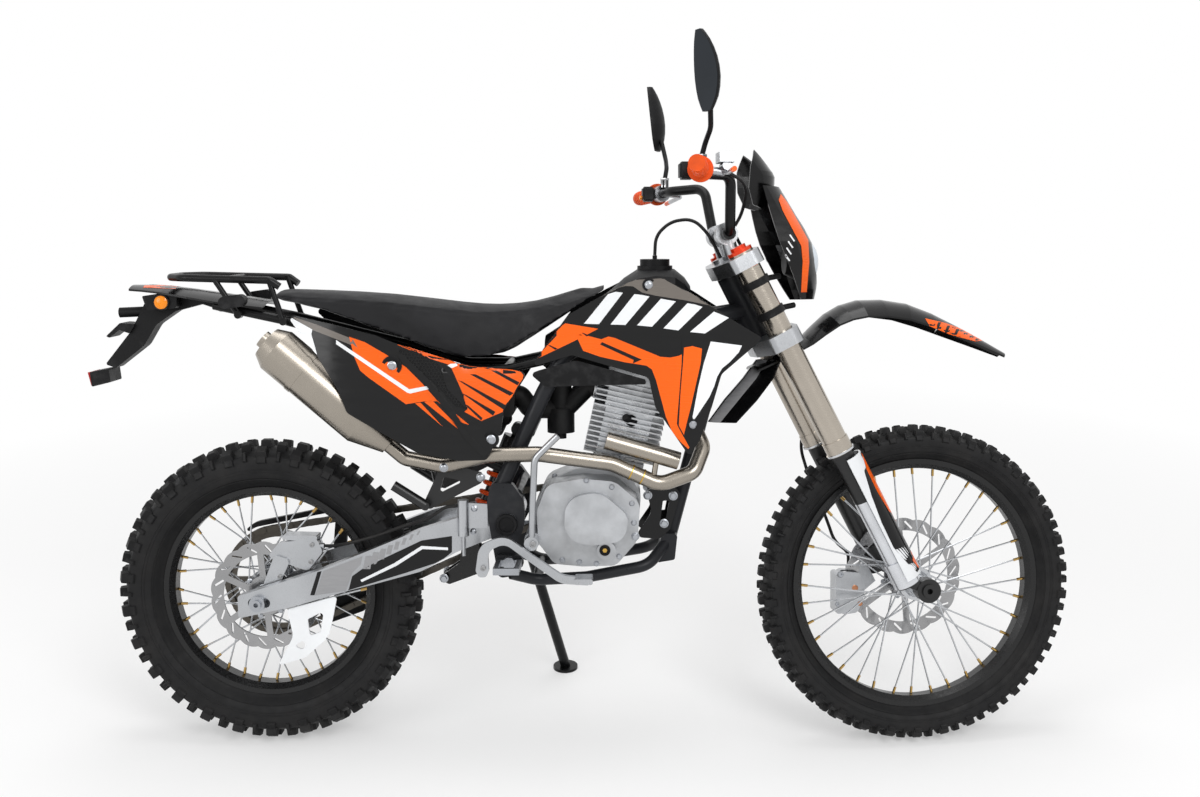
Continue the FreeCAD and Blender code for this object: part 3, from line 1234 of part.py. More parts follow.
def triple_clamps():
    """Both yokes, joined by the stem that turns in the head tube."""
    upper = clamp(UPPER_CLAMP_HEIGHT, CLAMP_THICKNESS - 4)
    lower = clamp(LOWER_CLAMP_HEIGHT, CLAMP_THICKNESS)
    stem = cylinder(steer_place(LOWER_CLAMP_HEIGHT - CLAMP_THICKNESS / 4, 0, 0),
                    steer_place(UPPER_CLAMP_HEIGHT + 20, 0, 0), STEM_RADIUS)
    nut = cylinder(steer_place(UPPER_CLAMP_HEIGHT + 10, 0, 0), steer_place(UPPER_CLAMP_HEIGHT + 24, 0, 0),
                   20.0)
    pieces = [upper, lower, stem, nut]
    bar = bar_centre()
    for side in (-46, 46):
        foot = steer_place(UPPER_CLAMP_HEIGHT + 8, 14, side)
        post = cylinder(foot, bar + V(0, side, 0), 16.0)
        grip = cylinder(bar + V(0, side - 15, 0), bar + V(0, side + 15, 0), 24.0)
        pieces += [post, grip]
    hole = cylinder(bar + V(0, -70, 0), bar + V(0, 70, 0), BAR_CENTRE_RADIUS + SEAT_GAP)
    vent = cylinder(steer_place(UPPER_CLAMP_HEIGHT, 0, 0), steer_place(UPPER_CLAMP_HEIGHT + 60, 0, 0),
                    HOSE_RADIUS + 1.5)
    return fuse(pieces).cut(hole).cut(vent)


def bar_centre():
    return steer_place(UPPER_CLAMP_HEIGHT + BAR_RISE, CLAMP_OFFSET + 1, 0)


def bar_end():
    mid = bar_centre()
    return V(mid.x - 125, -BAR_HALF_WIDTH, mid.z + 112)


def bar_bend():
    mid = bar_centre()
    return V(mid.x - 77, -(BAR_HALF_WIDTH - GRIP_LENGTH - 85), mid.z + 112)


def grip_axis():
    return (bar_end() - bar_bend()).normalize()


def handlebar():
    """A braced trail bar: a thick middle that rises and sweeps back to the grips."""
    mid = bar_centre()
    end = bar_end()
    bend = bar_bend()
    clamped = BAR_HALF_WIDTH * 0.225
    right = tube([(mid.x, 0, mid.z), (mid.x, -clamped, mid.z),
                  (mid.x - 10, (bend.y - clamped) / 2 - 4, end.z + 2), tuple(bend),
                  tuple(end - grip_axis() * 6)], BAR_RADIUS, [0, 36, 36, 40, 0])
    middle = cylinder(V(mid.x, 4 - clamped, mid.z), V(mid.x, clamped - 4, mid.z), BAR_CENTRE_RADIUS)
    return fuse(both_sides(right) + [middle])


def grips():
    """Rubber grips with flanges at their inner ends."""
    axis = grip_axis()
    outer_end = bar_end()
    start = outer_end - axis * GRIP_LENGTH
    body = cylinder(start, outer_end, GRIP_RADIUS)
    flange = cylinder(start - axis * 5, start + axis * 2, 35.0 / 2 + 8)
    bore = cylinder(start - axis * 10, outer_end - axis * 4, BAR_RADIUS + SEAT_GAP)
    return Part.makeCompound(both_sides(fuse([body, flange]).cut(bore)))


def controls():
    """Levers, their perches and the switch box beside each grip."""
    axis = grip_axis()
    hold = bar_end() - axis * (GRIP_LENGTH + 24)
    perch = cylinder(hold - axis * 14, hold + axis * 14, 19.0)
    perch = perch.cut(cylinder(hold - axis * 20, hold + axis * 20, BAR_RADIUS + SEAT_GAP))
    arm = cylinder(hold + V(16, 0, 0), hold + V(46, 0, -4), 8.0)
    lever = tube([tuple(hold + V(42, 0, -4)), tuple(hold + V(50, -24, -6)), tuple(hold + V(36, -150, -12))],
                 5.0, [0, 20, 0])
    left = fuse([perch, arm, lever])
    pump = cylinder(hold + V(48, -20, 8), hold + V(48, 20, 8), 9.0)
    cup = Part.makeBox(30, 44, 20, hold + V(32, -26, 14))
    right = fuse([left, pump, cup])
    return Part.makeCompound([right, mirrored(left)])


def mirror_section(z, x, reach, depth, side):
    """A level section of a mirror's shell: flat glass to the rear and a crowned back."""
    edge = 5.0
    centre = V(x, side, z)
    glass_a = centre + V(-edge, -reach, 0)
    glass_b = centre + V(-edge, reach, 0)
    a = centre + V(0, -reach, 0)
    b = centre + V(0, reach, 0)
    top = centre + V(depth, 0, 0)
    return Part.Wire([
        Part.LineSegment(glass_a, a).toShape(),
        Part.Arc(a, top, b).toShape(),
        Part.LineSegment(b, glass_b).toShape(),
        Part.LineSegment(glass_b, glass_a).toShape(),
    ])


def mirrors():
    """Mirrors with crowned backs, on stalks from the lever perches."""
    hold = bar_end() - grip_axis() * (GRIP_LENGTH + 50)
    knee = hold + V(10, -46, 80)
    head = hold + V(4, -74, 128)
    base = cylinder(hold + V(0, 0, BAR_RADIUS + SEAT_GAP), hold + V(0, 0, 34), 9.0)
    stalk = tube([tuple(hold + V(0, 0, 30)), tuple(hold + V(6, -8, 56)), tuple(knee), tuple(head)], 5.0,
                 [0, 24, 40, 0])
    rows = [(0, 0, 13, 5, 0), (26, -1, 30, 14, -3), (62, -3, 38, 18, -4), (100, -8, 34, 17, -4),
            (132, -14, 22, 12, -2), (152, -19, 8, 6, 0)]
    sections = [(z, x, reach, depth, side) for z, x, reach, depth, side in rows]
    shell = skinned(mirror_section, sections)
    shell.rotate(V(0, 0, 0), V(0, 0, 1), MIRROR_TOE)
    shell.translate(head + V(-6, -14, -22))
    return Part.makeCompound(both_sides(fuse([base, stalk, shell])))


def front_fender():
    """The long front mudguard under the lower clamp."""
    low = LOWER_CLAMP_HEIGHT - CLAMP_THICKNESS / 2 - SEAT_GAP
    base = steer_place(low, CLAMP_OFFSET, 0)
    rows = [
        (-59, -45, 28, 58, 8),
        (-1, -17, 27, 58, 10),
        (55, 18, 34, 64, 16),
        (107, 67, 30, 74, 26),
        (177, 96, 8, 78, 34),
        (287, 88, -12, 68, 34),
        (401, 38, -26, 50, 24),
        (513, -23, -32, 20, 8),
    ]
    stations = [(base.x + forward, base.z + up, slope, half, crown) for forward, up, slope, half,
                crown in rows]
    skin = skinned(crowned_section, stations)
    seat_pad = cylinder(steer_place(low - 13, 22, 0), steer_place(low, 22, 0), 16.0)
    return fuse([skin, seat_pad])


def u_band(z, front, back, half, thickness=PANEL_THICKNESS):
    """A band open to the rear: two cheeks joined by a round front."""
    outer = [(back, -half), (front - half * 0.55, -half * 0.96), (front, 0),
             (front - half * 0.55, half * 0.96), (back, half)]
    o = [V(x, y, z) for x, y in outer]
    i = [V(back, -half + thickness, z), V(front - half * 0.55 - thickness * 0.4, -half * 0.96 + thickness, z),
         V(front - thickness, 0, z), V(front - half * 0.55 - thickness * 0.4, half * 0.96 - thickness, z),
         V(back, half - thickness, z)]
    return Part.Wire([
        Part.LineSegment(o[0], o[1]).toShape(),
        Part.Arc(o[1], o[2], o[3]).toShape(),
        Part.LineSegment(o[3], o[4]).toShape(),
        Part.LineSegment(o[4], i[4]).toShape(),
        Part.LineSegment(i[4], i[3]).toShape(),
        Part.Arc(i[3], i[2], i[1]).toShape(),
        Part.LineSegment(i[1], i[0]).toShape(),
        Part.LineSegment(i[0], o[0]).toShape(),
    ])


def fly_screen():
    """A small screen above the nose, rising to a pointed wing on each side."""
    stations = [
        (1173, 1096, 1054, 44),
        (1208, 1113, 1050, 60),
        (1240, 1118, 1050, 70),
        (1262, 1104, 1048, 75),
        (1312, 1072, 1046, 77),
    ]
    skin = skinned(u_band, stations)
    side = plate([(1098, 1168), (1128, 1206), (1126, 1244), (1070, 1313), (1061, 1292), (1051, 1258),
                  (1050, 1214), (1062, 1180)],
                 -90, 90)
    notch = Part.Face(Part.makePolygon([V(1000, y, z) for y, z in
                                        ((-72, 1320), (-34, 1266), (34, 1266), (72, 1320), (-72, 1320))]))
    return skin.common(side).cut(notch.extrude(V(200, 0, 0)))


def headlight_mask():
    """The nose panel round the headlight, with the fly screen pinned between its cheeks."""
    stations = [
        (978, 1205, 1165, 52),
        (1030, 1212, 1140, 84),
        (1100, 1198, 1108, 98),
        (1160, 1163, 1090, 92),
        (1218, 1128, 1076, 80),
    ]
    skin = skinned(u_band, stations)
    window = cylinder(V(LAMP[0] - 90, 0, LAMP[1]), V(LAMP[0] + 70, 0, LAMP[1]), LAMP_RADIUS + 1)
    pins = both_sides(cross_pin(1090, 1198, -80, -52, 6.0))
    return fuse([skin.cut(window), fly_screen()] + pins)


def headlight_lens():
    """The lamp in the nose, with its bowl behind."""
    x, z = LAMP
    rim = V(x, 0, z + LAMP_RADIUS)
    front = V(x + 22, 0, z)
    middle = V(x + 17, 0, z + LAMP_RADIUS * 0.62)
    back = V(x - 50, 0, z)
    shoulder = V(x - 50, 0, z + LAMP_RADIUS * 0.5)
    wire = Part.Wire([
        Part.Arc(front, middle, rim).toShape(),
        Part.LineSegment(rim, shoulder).toShape(),
        Part.LineSegment(shoulder, back).toShape(),
        Part.LineSegment(back, front).toShape(),
    ])
    return Part.Face(wire).revolve(V(x, 0, z), V(1, 0, 0), 360)


def lamp_bracket():
    """The straps that hold the nose panel and its lamp to the fork tubes."""
    pieces = []
    for along in (LOWER_CLAMP_HEIGHT + 62, UPPER_CLAMP_HEIGHT - 52):
        for side in (-1, 1):
            centre = fork_leg_point(along, side * FORK_SPREAD)
            band = cylinder(centre - STEER_UP * 8, centre + STEER_UP * 8, FORK_TUBE_RADIUS + 4)
            arm = cylinder(centre + STEER_FORWARD * 18 - V(0, side * 16, 0),
                           V(centre.x + 60, side * 60, centre.z + 16), 6.0)
            pieces.append(fuse([band, arm]).cut(cylinder(centre - STEER_UP * 30, centre + STEER_UP * 40,
                                                         FORK_TUBE_RADIUS + SEAT_GAP)))
    return Part.makeCompound(pieces)


def front_caliper():
    """The caliper on the left leg, straddling the front disc."""
    y = DISC_OFFSET
    half = DISC_THICKNESS / 2 + CALIPER_GAP
    centre = V(1305, 0, 318)
    outline = [(centre.x - 30, centre.z - 50, 14), (centre.x + 14, centre.z - 44, 12),
               (centre.x + 30, centre.z, 14),
               (centre.x + 20, centre.z + 46, 12), (centre.x - 26, centre.z + 50, 14)]
    outer = plate(outline, y + half, y + half + 22)
    inner = plate(outline, y - half - 14, y - half)
    bridge = plate([(centre.x - 36, centre.z - 46, 6), (centre.x - 22, centre.z - 46, 4),
                    (centre.x - 22, centre.z + 46, 4),
                    (centre.x - 36, centre.z + 46, 6)], y - half - 14, y + half + 22)
    hanger = plate([(1318, 292, 6), (1326, 366, 6), (1368, 398, 4), (1388, 350, 4)], y + 20, y + 30)
    leg = cylinder(fork_leg_point(-20, FORK_SPREAD), fork_leg_point(200, FORK_SPREAD),
                   FORK_LEG_RADIUS + SEAT_GAP)
    top = V(CALIPER_TOP[0], y + 18, CALIPER_TOP[1])
    banjo = cylinder(V(top.x, top.y, top.z - 16), top, 6.5)
    return fuse([outer, inner, bridge, hanger.cut(leg), banjo])


def hose(points, radius=HOSE_RADIUS):
    """A hose through the given points, each corner rounded as far as its shorter run allows."""
    points = [V(*p) for p in points]
    bends = [0.0]
    for before, corner, after in zip(points, points[1:], points[2:]):
        shorter = min((corner - before).Length, (after - corner).Length)
        turn = (corner - before).getAngle(after - corner)
        bends.append(0.45 * shorter / math.tan(turn / 2))
    return tube([tuple(p) for p in points], radius, bends + [0.0])


def vent_hose():
    """The tank's breather, from the cap into the top of the steering stem."""
    cap = V(FILLER[0], 0, FILLER[1] + 30 + 2 * SEAT_GAP)
    over = steer_place(UPPER_CLAMP_HEIGHT + 82, 0, 0)
    end = steer_place(UPPER_CLAMP_HEIGHT + 12, 0, 0)
    return hose([cap, cap + V(2, 0, 42), (892, 0, 1148), (940, 0, 1154), over, end])


def rear_brake_hose():
    """The hose from the pump by the peg, over the arm to the rear caliper."""
    y = -DISC_OFFSET - 12
    pump = -SPAR_SPREAD - 14
    return hose([(446 - PUMP_RADIUS - SEAT_GAP, pump, 549), (408, pump, 547), (370, pump + 1, 520),
                 (322, -SPAR_SPREAD - 8, 506),
                 (258, -SPAR_SPREAD - 6, 482), (200, -SPAR_SPREAD, 466), (162, y, 452),
                 (REAR_CALIPER_FACE + SEAT_GAP, y, 452)])


def front_brake_hose():
    """The hose from the bar down the left leg to the front caliper."""
    hold = bar_end() - grip_axis() * (GRIP_LENGTH + 24)
    mid = bar_centre()
    leg = LOWER_CLAMP_HEIGHT
    outside = FORK_SPREAD + FORK_LEG_RADIUS + 12
    front = CLAMP_OFFSET + 46
    end = DISC_OFFSET + 18
    return hose([hold + V(48, 20 + SEAT_GAP, 8), hold + V(50, 54, 9), (mid.x + 28, -142, mid.z + 98),
                 (mid.x + 33, -62, mid.z + 44),
                 (mid.x + 33, 46, mid.z + 14), steer_place(leg + 196, front, FORK_SPREAD - 16),
                 steer_place(leg + 110, front, FORK_SPREAD), steer_place(leg - 150, front, FORK_SPREAD + 4),
                 steer_place(leg - 215, CLAMP_OFFSET + 20, outside),
                 steer_place(leg - 262, CLAMP_OFFSET - 30, outside - 4),
                 steer_place(leg - 340, -26, FORK_SPREAD + 14), steer_place(leg - 430, -34, FORK_SPREAD),
                 steer_place(leg - 488, -44, FORK_SPREAD - 10), (CALIPER_TOP[0], end, CALIPER_TOP[1] + 28),
                 (CALIPER_TOP[0], end, CALIPER_TOP[1] + SEAT_GAP)])


def side_stand_leg(floor_tilt):
    """The side stand leg from its pivot down to the floor."""
    pivot = V(*STAND_PIVOT)
    foot = stand_foot_point()
    up = V(0, -math.sin(floor_tilt), math.cos(floor_tilt))
    base = cylinder(foot, foot + up * STAND_FOOT_THICKNESS, STAND_FOOT_RADIUS)
    axis = stand_axis()
    eye = cylinder(pivot - axis * STAND_EYE, pivot + axis * STAND_EYE, 17.0)
    leg = cylinder(pivot, foot + up * (STAND_FOOT_THICKNESS - 1), STAND_RADIUS)
    bore = cylinder(pivot - axis * 20, pivot + axis * 20, 6.0 + RUNNING_GAP)
    return fuse([base, eye, leg]).cut(bore)


def stand_foot_point():
    tilt = math.radians(LEAN)
    return V(STAND_FOOT[0], STAND_FOOT[1], STAND_FOOT[1] * math.tan(tilt) + floor_offset() / math.cos(tilt))


def stand_axis():
    leg = (stand_foot_point() - V(*STAND_PIVOT)).normalize()
    folded = V(-1, 0.16, 0.08).normalize()
    return leg.cross(folded).normalize()


def stand_bracket():
    """The pin and cheeks on the left cradle that carry the stand's pivot."""
    pivot = V(*STAND_PIVOT)
    axis = stand_axis()
    outside = STAND_EYE + RUNNING_GAP
    pin = cylinder(pivot - axis * (outside + 4), pivot + axis * (outside + 4), 6.0)
    cheek = cylinder(pivot - axis * (outside + 11), pivot - axis * outside, 16.0)
    washer = cylinder(pivot + axis * outside, pivot + axis * (outside + 5), 11.0)
    arm = cylinder(pivot - axis * (outside + 9), V(586, CRADLE_SPREAD, 382), 10.0)
    return [pin, cheek, washer, arm]


def rear_tread():
    return (REAR_AXLE, REAR_TYRE_RADIUS, REAR_TYRE_WIDTH, REAR_RIM_RADIUS, REAR_RIM_WIDTH, REAR_LUG,
            REAR_LUG_PAIRS)


def front_tread():
    return (FRONT_AXLE, FRONT_TYRE_RADIUS, FRONT_TYRE_WIDTH, FRONT_RIM_RADIUS, FRONT_RIM_WIDTH, FRONT_LUG,
            FRONT_LUG_PAIRS)


def turn_about(point, origin, axis, degrees):
    return origin + FreeCAD.Rotation(axis, degrees).multVec(point - origin)


def leaned(point):
    return FreeCAD.Rotation(V(1, 0, 0), -LEAN).multVec(point)


@lru_cache
def wheel_lows():
    """The lowest lug tips of both tyres once the bike leans and steers."""
    rear = min(leaned(p).z for p in tread_tips(*rear_tread()))
    front = min(leaned(turn_about(p, STEER_FOOT, STEER_UP, STEERED)).z for p in tread_tips(*front_tread()))
    return rear, front


def floor_offset():
    rear, front = wheel_lows()
    share = STAND_FOOT[0] / WHEELBASE
    return rear + (front - rear) * share


def parked(shape, steering):
    """Steers, leans and levels a shape built upright."""
    placed = shape.copy()
    if steering:
        placed.rotate(STEER_FOOT, STEER_UP, STEERED)
    placed.rotate(V(0, 0, 0), V(1, 0, 0), -LEAN)
    rear, front = wheel_lows()
    level = math.degrees(math.atan2(front - rear, WHEELBASE))
    placed.rotate(V(0, 0, rear), V(0, 1, 0), level)
    placed.translate(V(0, 0, -rear))
    return placed


def build():
    """Every piece by name, upright, with whether it turns with the steering."""
    rear_hub = laced_hub(REAR_AXLE, REAR_FLANGE_RADIUS, REAR_FLANGE_SPREAD, REAR_HUB_END, REAR_HUB_END,
                         REAR_RIM_RADIUS)
    front_hub = laced_hub(FRONT_AXLE, FRONT_FLANGE_RADIUS, FRONT_FLANGE_SPREAD, FRONT_HUB_END, FRONT_HUB_END,
                          FRONT_RIM_RADIUS)
    together = Part.makeCompound
    fixed = {
        "main_frame": main_frame(),
        "engine_plates": engine_plates(),
        "subframe": subframe(),
        "swingarm": swingarm(),
        "cross_bolts": together([pivot_bolt(), rear_axle()]),
        "rear_suspension": together([rear_shock(), shock_linkage()]),
        "crankcase": crankcase(),
        "cylinder": together([barrel(), cylinder_head()]),
        "intake": together([carburettor(), airbox()]),
        "exhaust_header": exhaust_header(),
        "silencer": silencer(),
        "seat": seat(),
        "fuel_tank": fuel_tank(),
        "fuel_cap": fuel_cap(),
        "tank_shrouds": tank_shrouds(),
        "lower_covers": lower_covers(),
        "side_panels": side_panels(),
        "rear_fender": rear_fender(),
        "tail_rack": tail_rack(),
        "tail_lamps": together([plate_bracket()] + side_reflectors() + rear_indicators()),
        "inner_fender": inner_fender(),
        "chain": together([chain_loop(), front_sprocket()]),
        "chain_guard": chain_guard(),
        "disc_guard": disc_guard(),
        "rear_brake": together([rear_caliper(), master_cylinder()]),
        "foot_controls": together([brake_pedal(), gear_lever(), kick_starter()]),
        "footpegs": together([footpegs(), passenger_pegs()]),
        "hoses": together([vent_hose(), rear_brake_hose()]),
        "side_stand": side_stand_leg(math.radians(LEAN)),
        "rear_tyre": tyre(*rear_tread()),
        "rear_rim": rim(REAR_AXLE, REAR_RIM_RADIUS, REAR_RIM_WIDTH),
        "rear_hub": rear_hub,
        "rear_disc": disc(REAR_AXLE, REAR_DISC_RADIUS, -DISC_OFFSET, HUB_RADIUS + SEAT_GAP + 2),
        "rear_sprocket": rear_sprocket(),
    }
    steered = {
        "triple_clamps": triple_clamps(),
        "fork_tubes": fork_tubes(),
        "fork_lowers": together([fork_lowers(), front_axle()]),
        "fork_guards": fork_guards(),
        "front_fender": front_fender(),
        "headlight_mask": headlight_mask(),
        "headlight": together([headlight_lens(), lamp_bracket()]),
        "handlebar": handlebar(),
        "grips": grips(),
        "controls": controls(),
        "mirrors": mirrors(),
        "front_brake": front_caliper(),
        "front_hose": front_brake_hose(),
        "front_tyre": tyre(*front_tread()),
        "front_rim": rim(FRONT_AXLE, FRONT_RIM_RADIUS, FRONT_RIM_WIDTH),
        "front_hub": front_hub,
        "front_disc": disc(FRONT_AXLE, FRONT_DISC_RADIUS, DISC_OFFSET, HUB_RADIUS + SEAT_GAP + 2),
    }
    return fixed, steered


def centred(shapes):
    """The shift that puts the origin under the middle of the whole bike."""
    box = FreeCAD.BoundBox()
    for shape in shapes.values():
        box.add(shape.optimalBoundingBox(False))
    return V(-box.Center.x, -box.Center.y, 0)


def main():
    os.makedirs("parts", exist_ok=True)
    fixed, steered = build()
    placed = {}
    for name, shape in fixed.items():
        placed[name] = parked(shape, False)
    for name, shape in steered.items():
        placed[name] = parked(shape, True)
    shift = centred(placed)
    for name, shape in placed.items():
        shape.translate(shift)
        shape.exportStep(os.path.join("parts", name + ".step"))
    print("origin shift", round(shift.x, 3), round(shift.y, 3))
    return placed, shift


if __name__ == "__main__":
    main()
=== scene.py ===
import json
import math

import bmesh
import bpy
from mathutils import Matrix, Vector
from mathutils.bvhtree import BVHTree
from mathutils.geometry import delaunay_2d_cdt


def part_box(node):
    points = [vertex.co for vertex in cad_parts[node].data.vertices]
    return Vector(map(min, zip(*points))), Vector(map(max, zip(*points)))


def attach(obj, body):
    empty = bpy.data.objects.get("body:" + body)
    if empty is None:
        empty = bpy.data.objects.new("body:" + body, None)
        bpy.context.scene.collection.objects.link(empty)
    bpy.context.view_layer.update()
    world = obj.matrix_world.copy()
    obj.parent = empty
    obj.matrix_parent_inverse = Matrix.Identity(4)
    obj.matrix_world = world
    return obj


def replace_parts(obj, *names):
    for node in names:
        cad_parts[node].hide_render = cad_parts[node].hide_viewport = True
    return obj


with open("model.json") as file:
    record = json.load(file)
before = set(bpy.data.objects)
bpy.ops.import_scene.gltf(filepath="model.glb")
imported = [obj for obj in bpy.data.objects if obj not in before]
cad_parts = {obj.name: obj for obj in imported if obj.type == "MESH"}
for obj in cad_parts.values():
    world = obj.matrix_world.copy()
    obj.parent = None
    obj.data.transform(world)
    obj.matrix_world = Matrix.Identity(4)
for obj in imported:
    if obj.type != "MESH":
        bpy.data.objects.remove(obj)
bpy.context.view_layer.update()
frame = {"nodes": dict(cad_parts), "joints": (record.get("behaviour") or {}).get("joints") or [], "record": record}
NODES = frame["nodes"]
JOINTS = {j["name"]: j for j in frame["joints"]}
BODIES = frame["record"]["behaviour"]["bodies"]
BODY_OF = {node: body for body, held in BODIES.items() for node in held}

# Sizes in metres, with the bike upright: x forward from the rear axle, y to the left, z up
WHEELBASE = 1.43
FRONT_RADIUS = 0.350
REAR_RADIUS = 0.338
RAKE = math.radians(27.0)
REAR_AXLE = Vector((0.0, 0.0, REAR_RADIUS))
FRONT_AXLE = Vector((WHEELBASE, 0.0, FRONT_RADIUS))
STEER_UP = Vector((-math.sin(RAKE), 0.0, math.cos(RAKE)))
STEER_FORWARD = Vector((math.cos(RAKE), 0.0, math.sin(RAKE)))
STEER_FOOT = FRONT_AXLE - STEER_FORWARD * 0.056
LEFT = Vector((0, 1, 0))
RIGHT = Vector((0, -1, 0))
FORWARD = Vector((1, 0, 0))
UP = Vector((0, 0, 1))
MM = 0.001


def mm(x, y, z):
    """A point of the upright bike given in millimetres."""
    return Vector((x, y, z)) * MM


def spoke(a):
    """The direction at an angle round a wheel."""
    return Vector((math.cos(a), 0, math.sin(a)))


def basis(across, steer, origin, local):
    """The matrix from upright coordinates to the row frame, from the axle and steering directions."""
    y = Vector(across).normalized()
    s = Vector(steer).normalized()
    side = y.cross(s)
    x = side * math.cos(RAKE) - s * math.sin(RAKE)
    z = side * math.sin(RAKE) + s * math.cos(RAKE)
    turn = Matrix((x, y, z)).transposed()
    move = Vector(origin) - turn @ local
    return Matrix.Translation(move) @ turn.to_4x4()


STEER_AXIS = JOINTS["steering"]["axis"]
CHASSIS = basis(JOINTS["rear_wheel"]["axis"], STEER_AXIS, JOINTS["rear_wheel"]["pos_m"], REAR_AXLE)
STEERED = basis(JOINTS["front_wheel"]["axis"], STEER_AXIS, JOINTS["front_wheel"]["pos_m"], FRONT_AXLE)
PLACES = {"chassis": CHASSIS, "rear_wheel": CHASSIS, "side_stand": CHASSIS,
          "steering": STEERED, "front_wheel": STEERED}

# Camera, found from both wheels, the bars and the pegs
LENS = 1396.8
SENSOR = 36.0
IMAGE_WIDTH = 1200
IMAGE_HEIGHT = 797
EYE = Vector((0.8047, -3.0422, 1.1458))
YAW, PITCH, ROLL = (math.radians(a) for a in (-1.27, 7.16, -0.39))


def camera_axes():
    ahead = Vector((math.sin(YAW) * math.cos(PITCH), math.cos(YAW) * math.cos(PITCH), -math.sin(PITCH)))
    right = ahead.cross(UP).normalized()
    up = right.cross(ahead)
    return (right * math.cos(ROLL) + up * math.sin(ROLL), up * math.cos(ROLL) - right * math.sin(ROLL), ahead)


def placed(name, data):
    """A new object in the scene."""
    obj = bpy.data.objects.new(name, data)
    bpy.context.scene.collection.objects.link(obj)
    return obj


def make_camera():
    right, up, ahead = camera_axes()
    data = bpy.data.cameras.new("camera")
    data.sensor_width = SENSOR
    data.sensor_fit = "HORIZONTAL"
    data.lens = LENS * SENSOR / IMAGE_WIDTH
    cam = placed("camera", data)
    turn = Matrix((right, up, -ahead)).transposed().to_4x4()
    cam.matrix_world = CHASSIS @ Matrix.Translation(EYE) @ turn
    bpy.context.scene.camera = cam


def sight(u, v):
    """The eye and the direction through a point of the picture, in the row frame."""
    right, up, ahead = camera_axes()
    d = ahead + right * ((u - IMAGE_WIDTH / 2) / LENS) - up * ((v - IMAGE_HEIGHT / 2) / LENS)
    return CHASSIS @ EYE, (CHASSIS.to_3x3() @ d).normalized()


def linear(colour):
    """A display colour from 0 to 255 as scene-linear values."""
    parts = (c / 255.0 for c in colour)
    return (*(c / 12.92 if c <= 0.04045 else ((c + 0.055) / 1.055) ** 2.4 for c in parts), 1.0)


def scaled(colour, by, more=0.0):
    """A colour made darker or lighter."""
    return (*(min(c * by + more, 1.0) for c in colour[:3]), 1.0)


def wired(tree, kind, inputs, out=0, **settings):
    """An output of a new node, with its settings made and each input linked or set."""
    made = tree.nodes.new(kind)
    for key, value in settings.items():
        setattr(made, key, value)
    for name, value in inputs.items():
        if isinstance(value, bpy.types.NodeSocket):
            tree.links.new(value, made.inputs[name])
        else:
            made.inputs[name].default_value = value
    return made.outputs[out]


ORANGE = (246, 98, 10)
BLACK = (10, 10, 11)
SOFT_BLACK = (21, 21, 22)
EVEN = (1, 1, 1)
FINISHES = {}


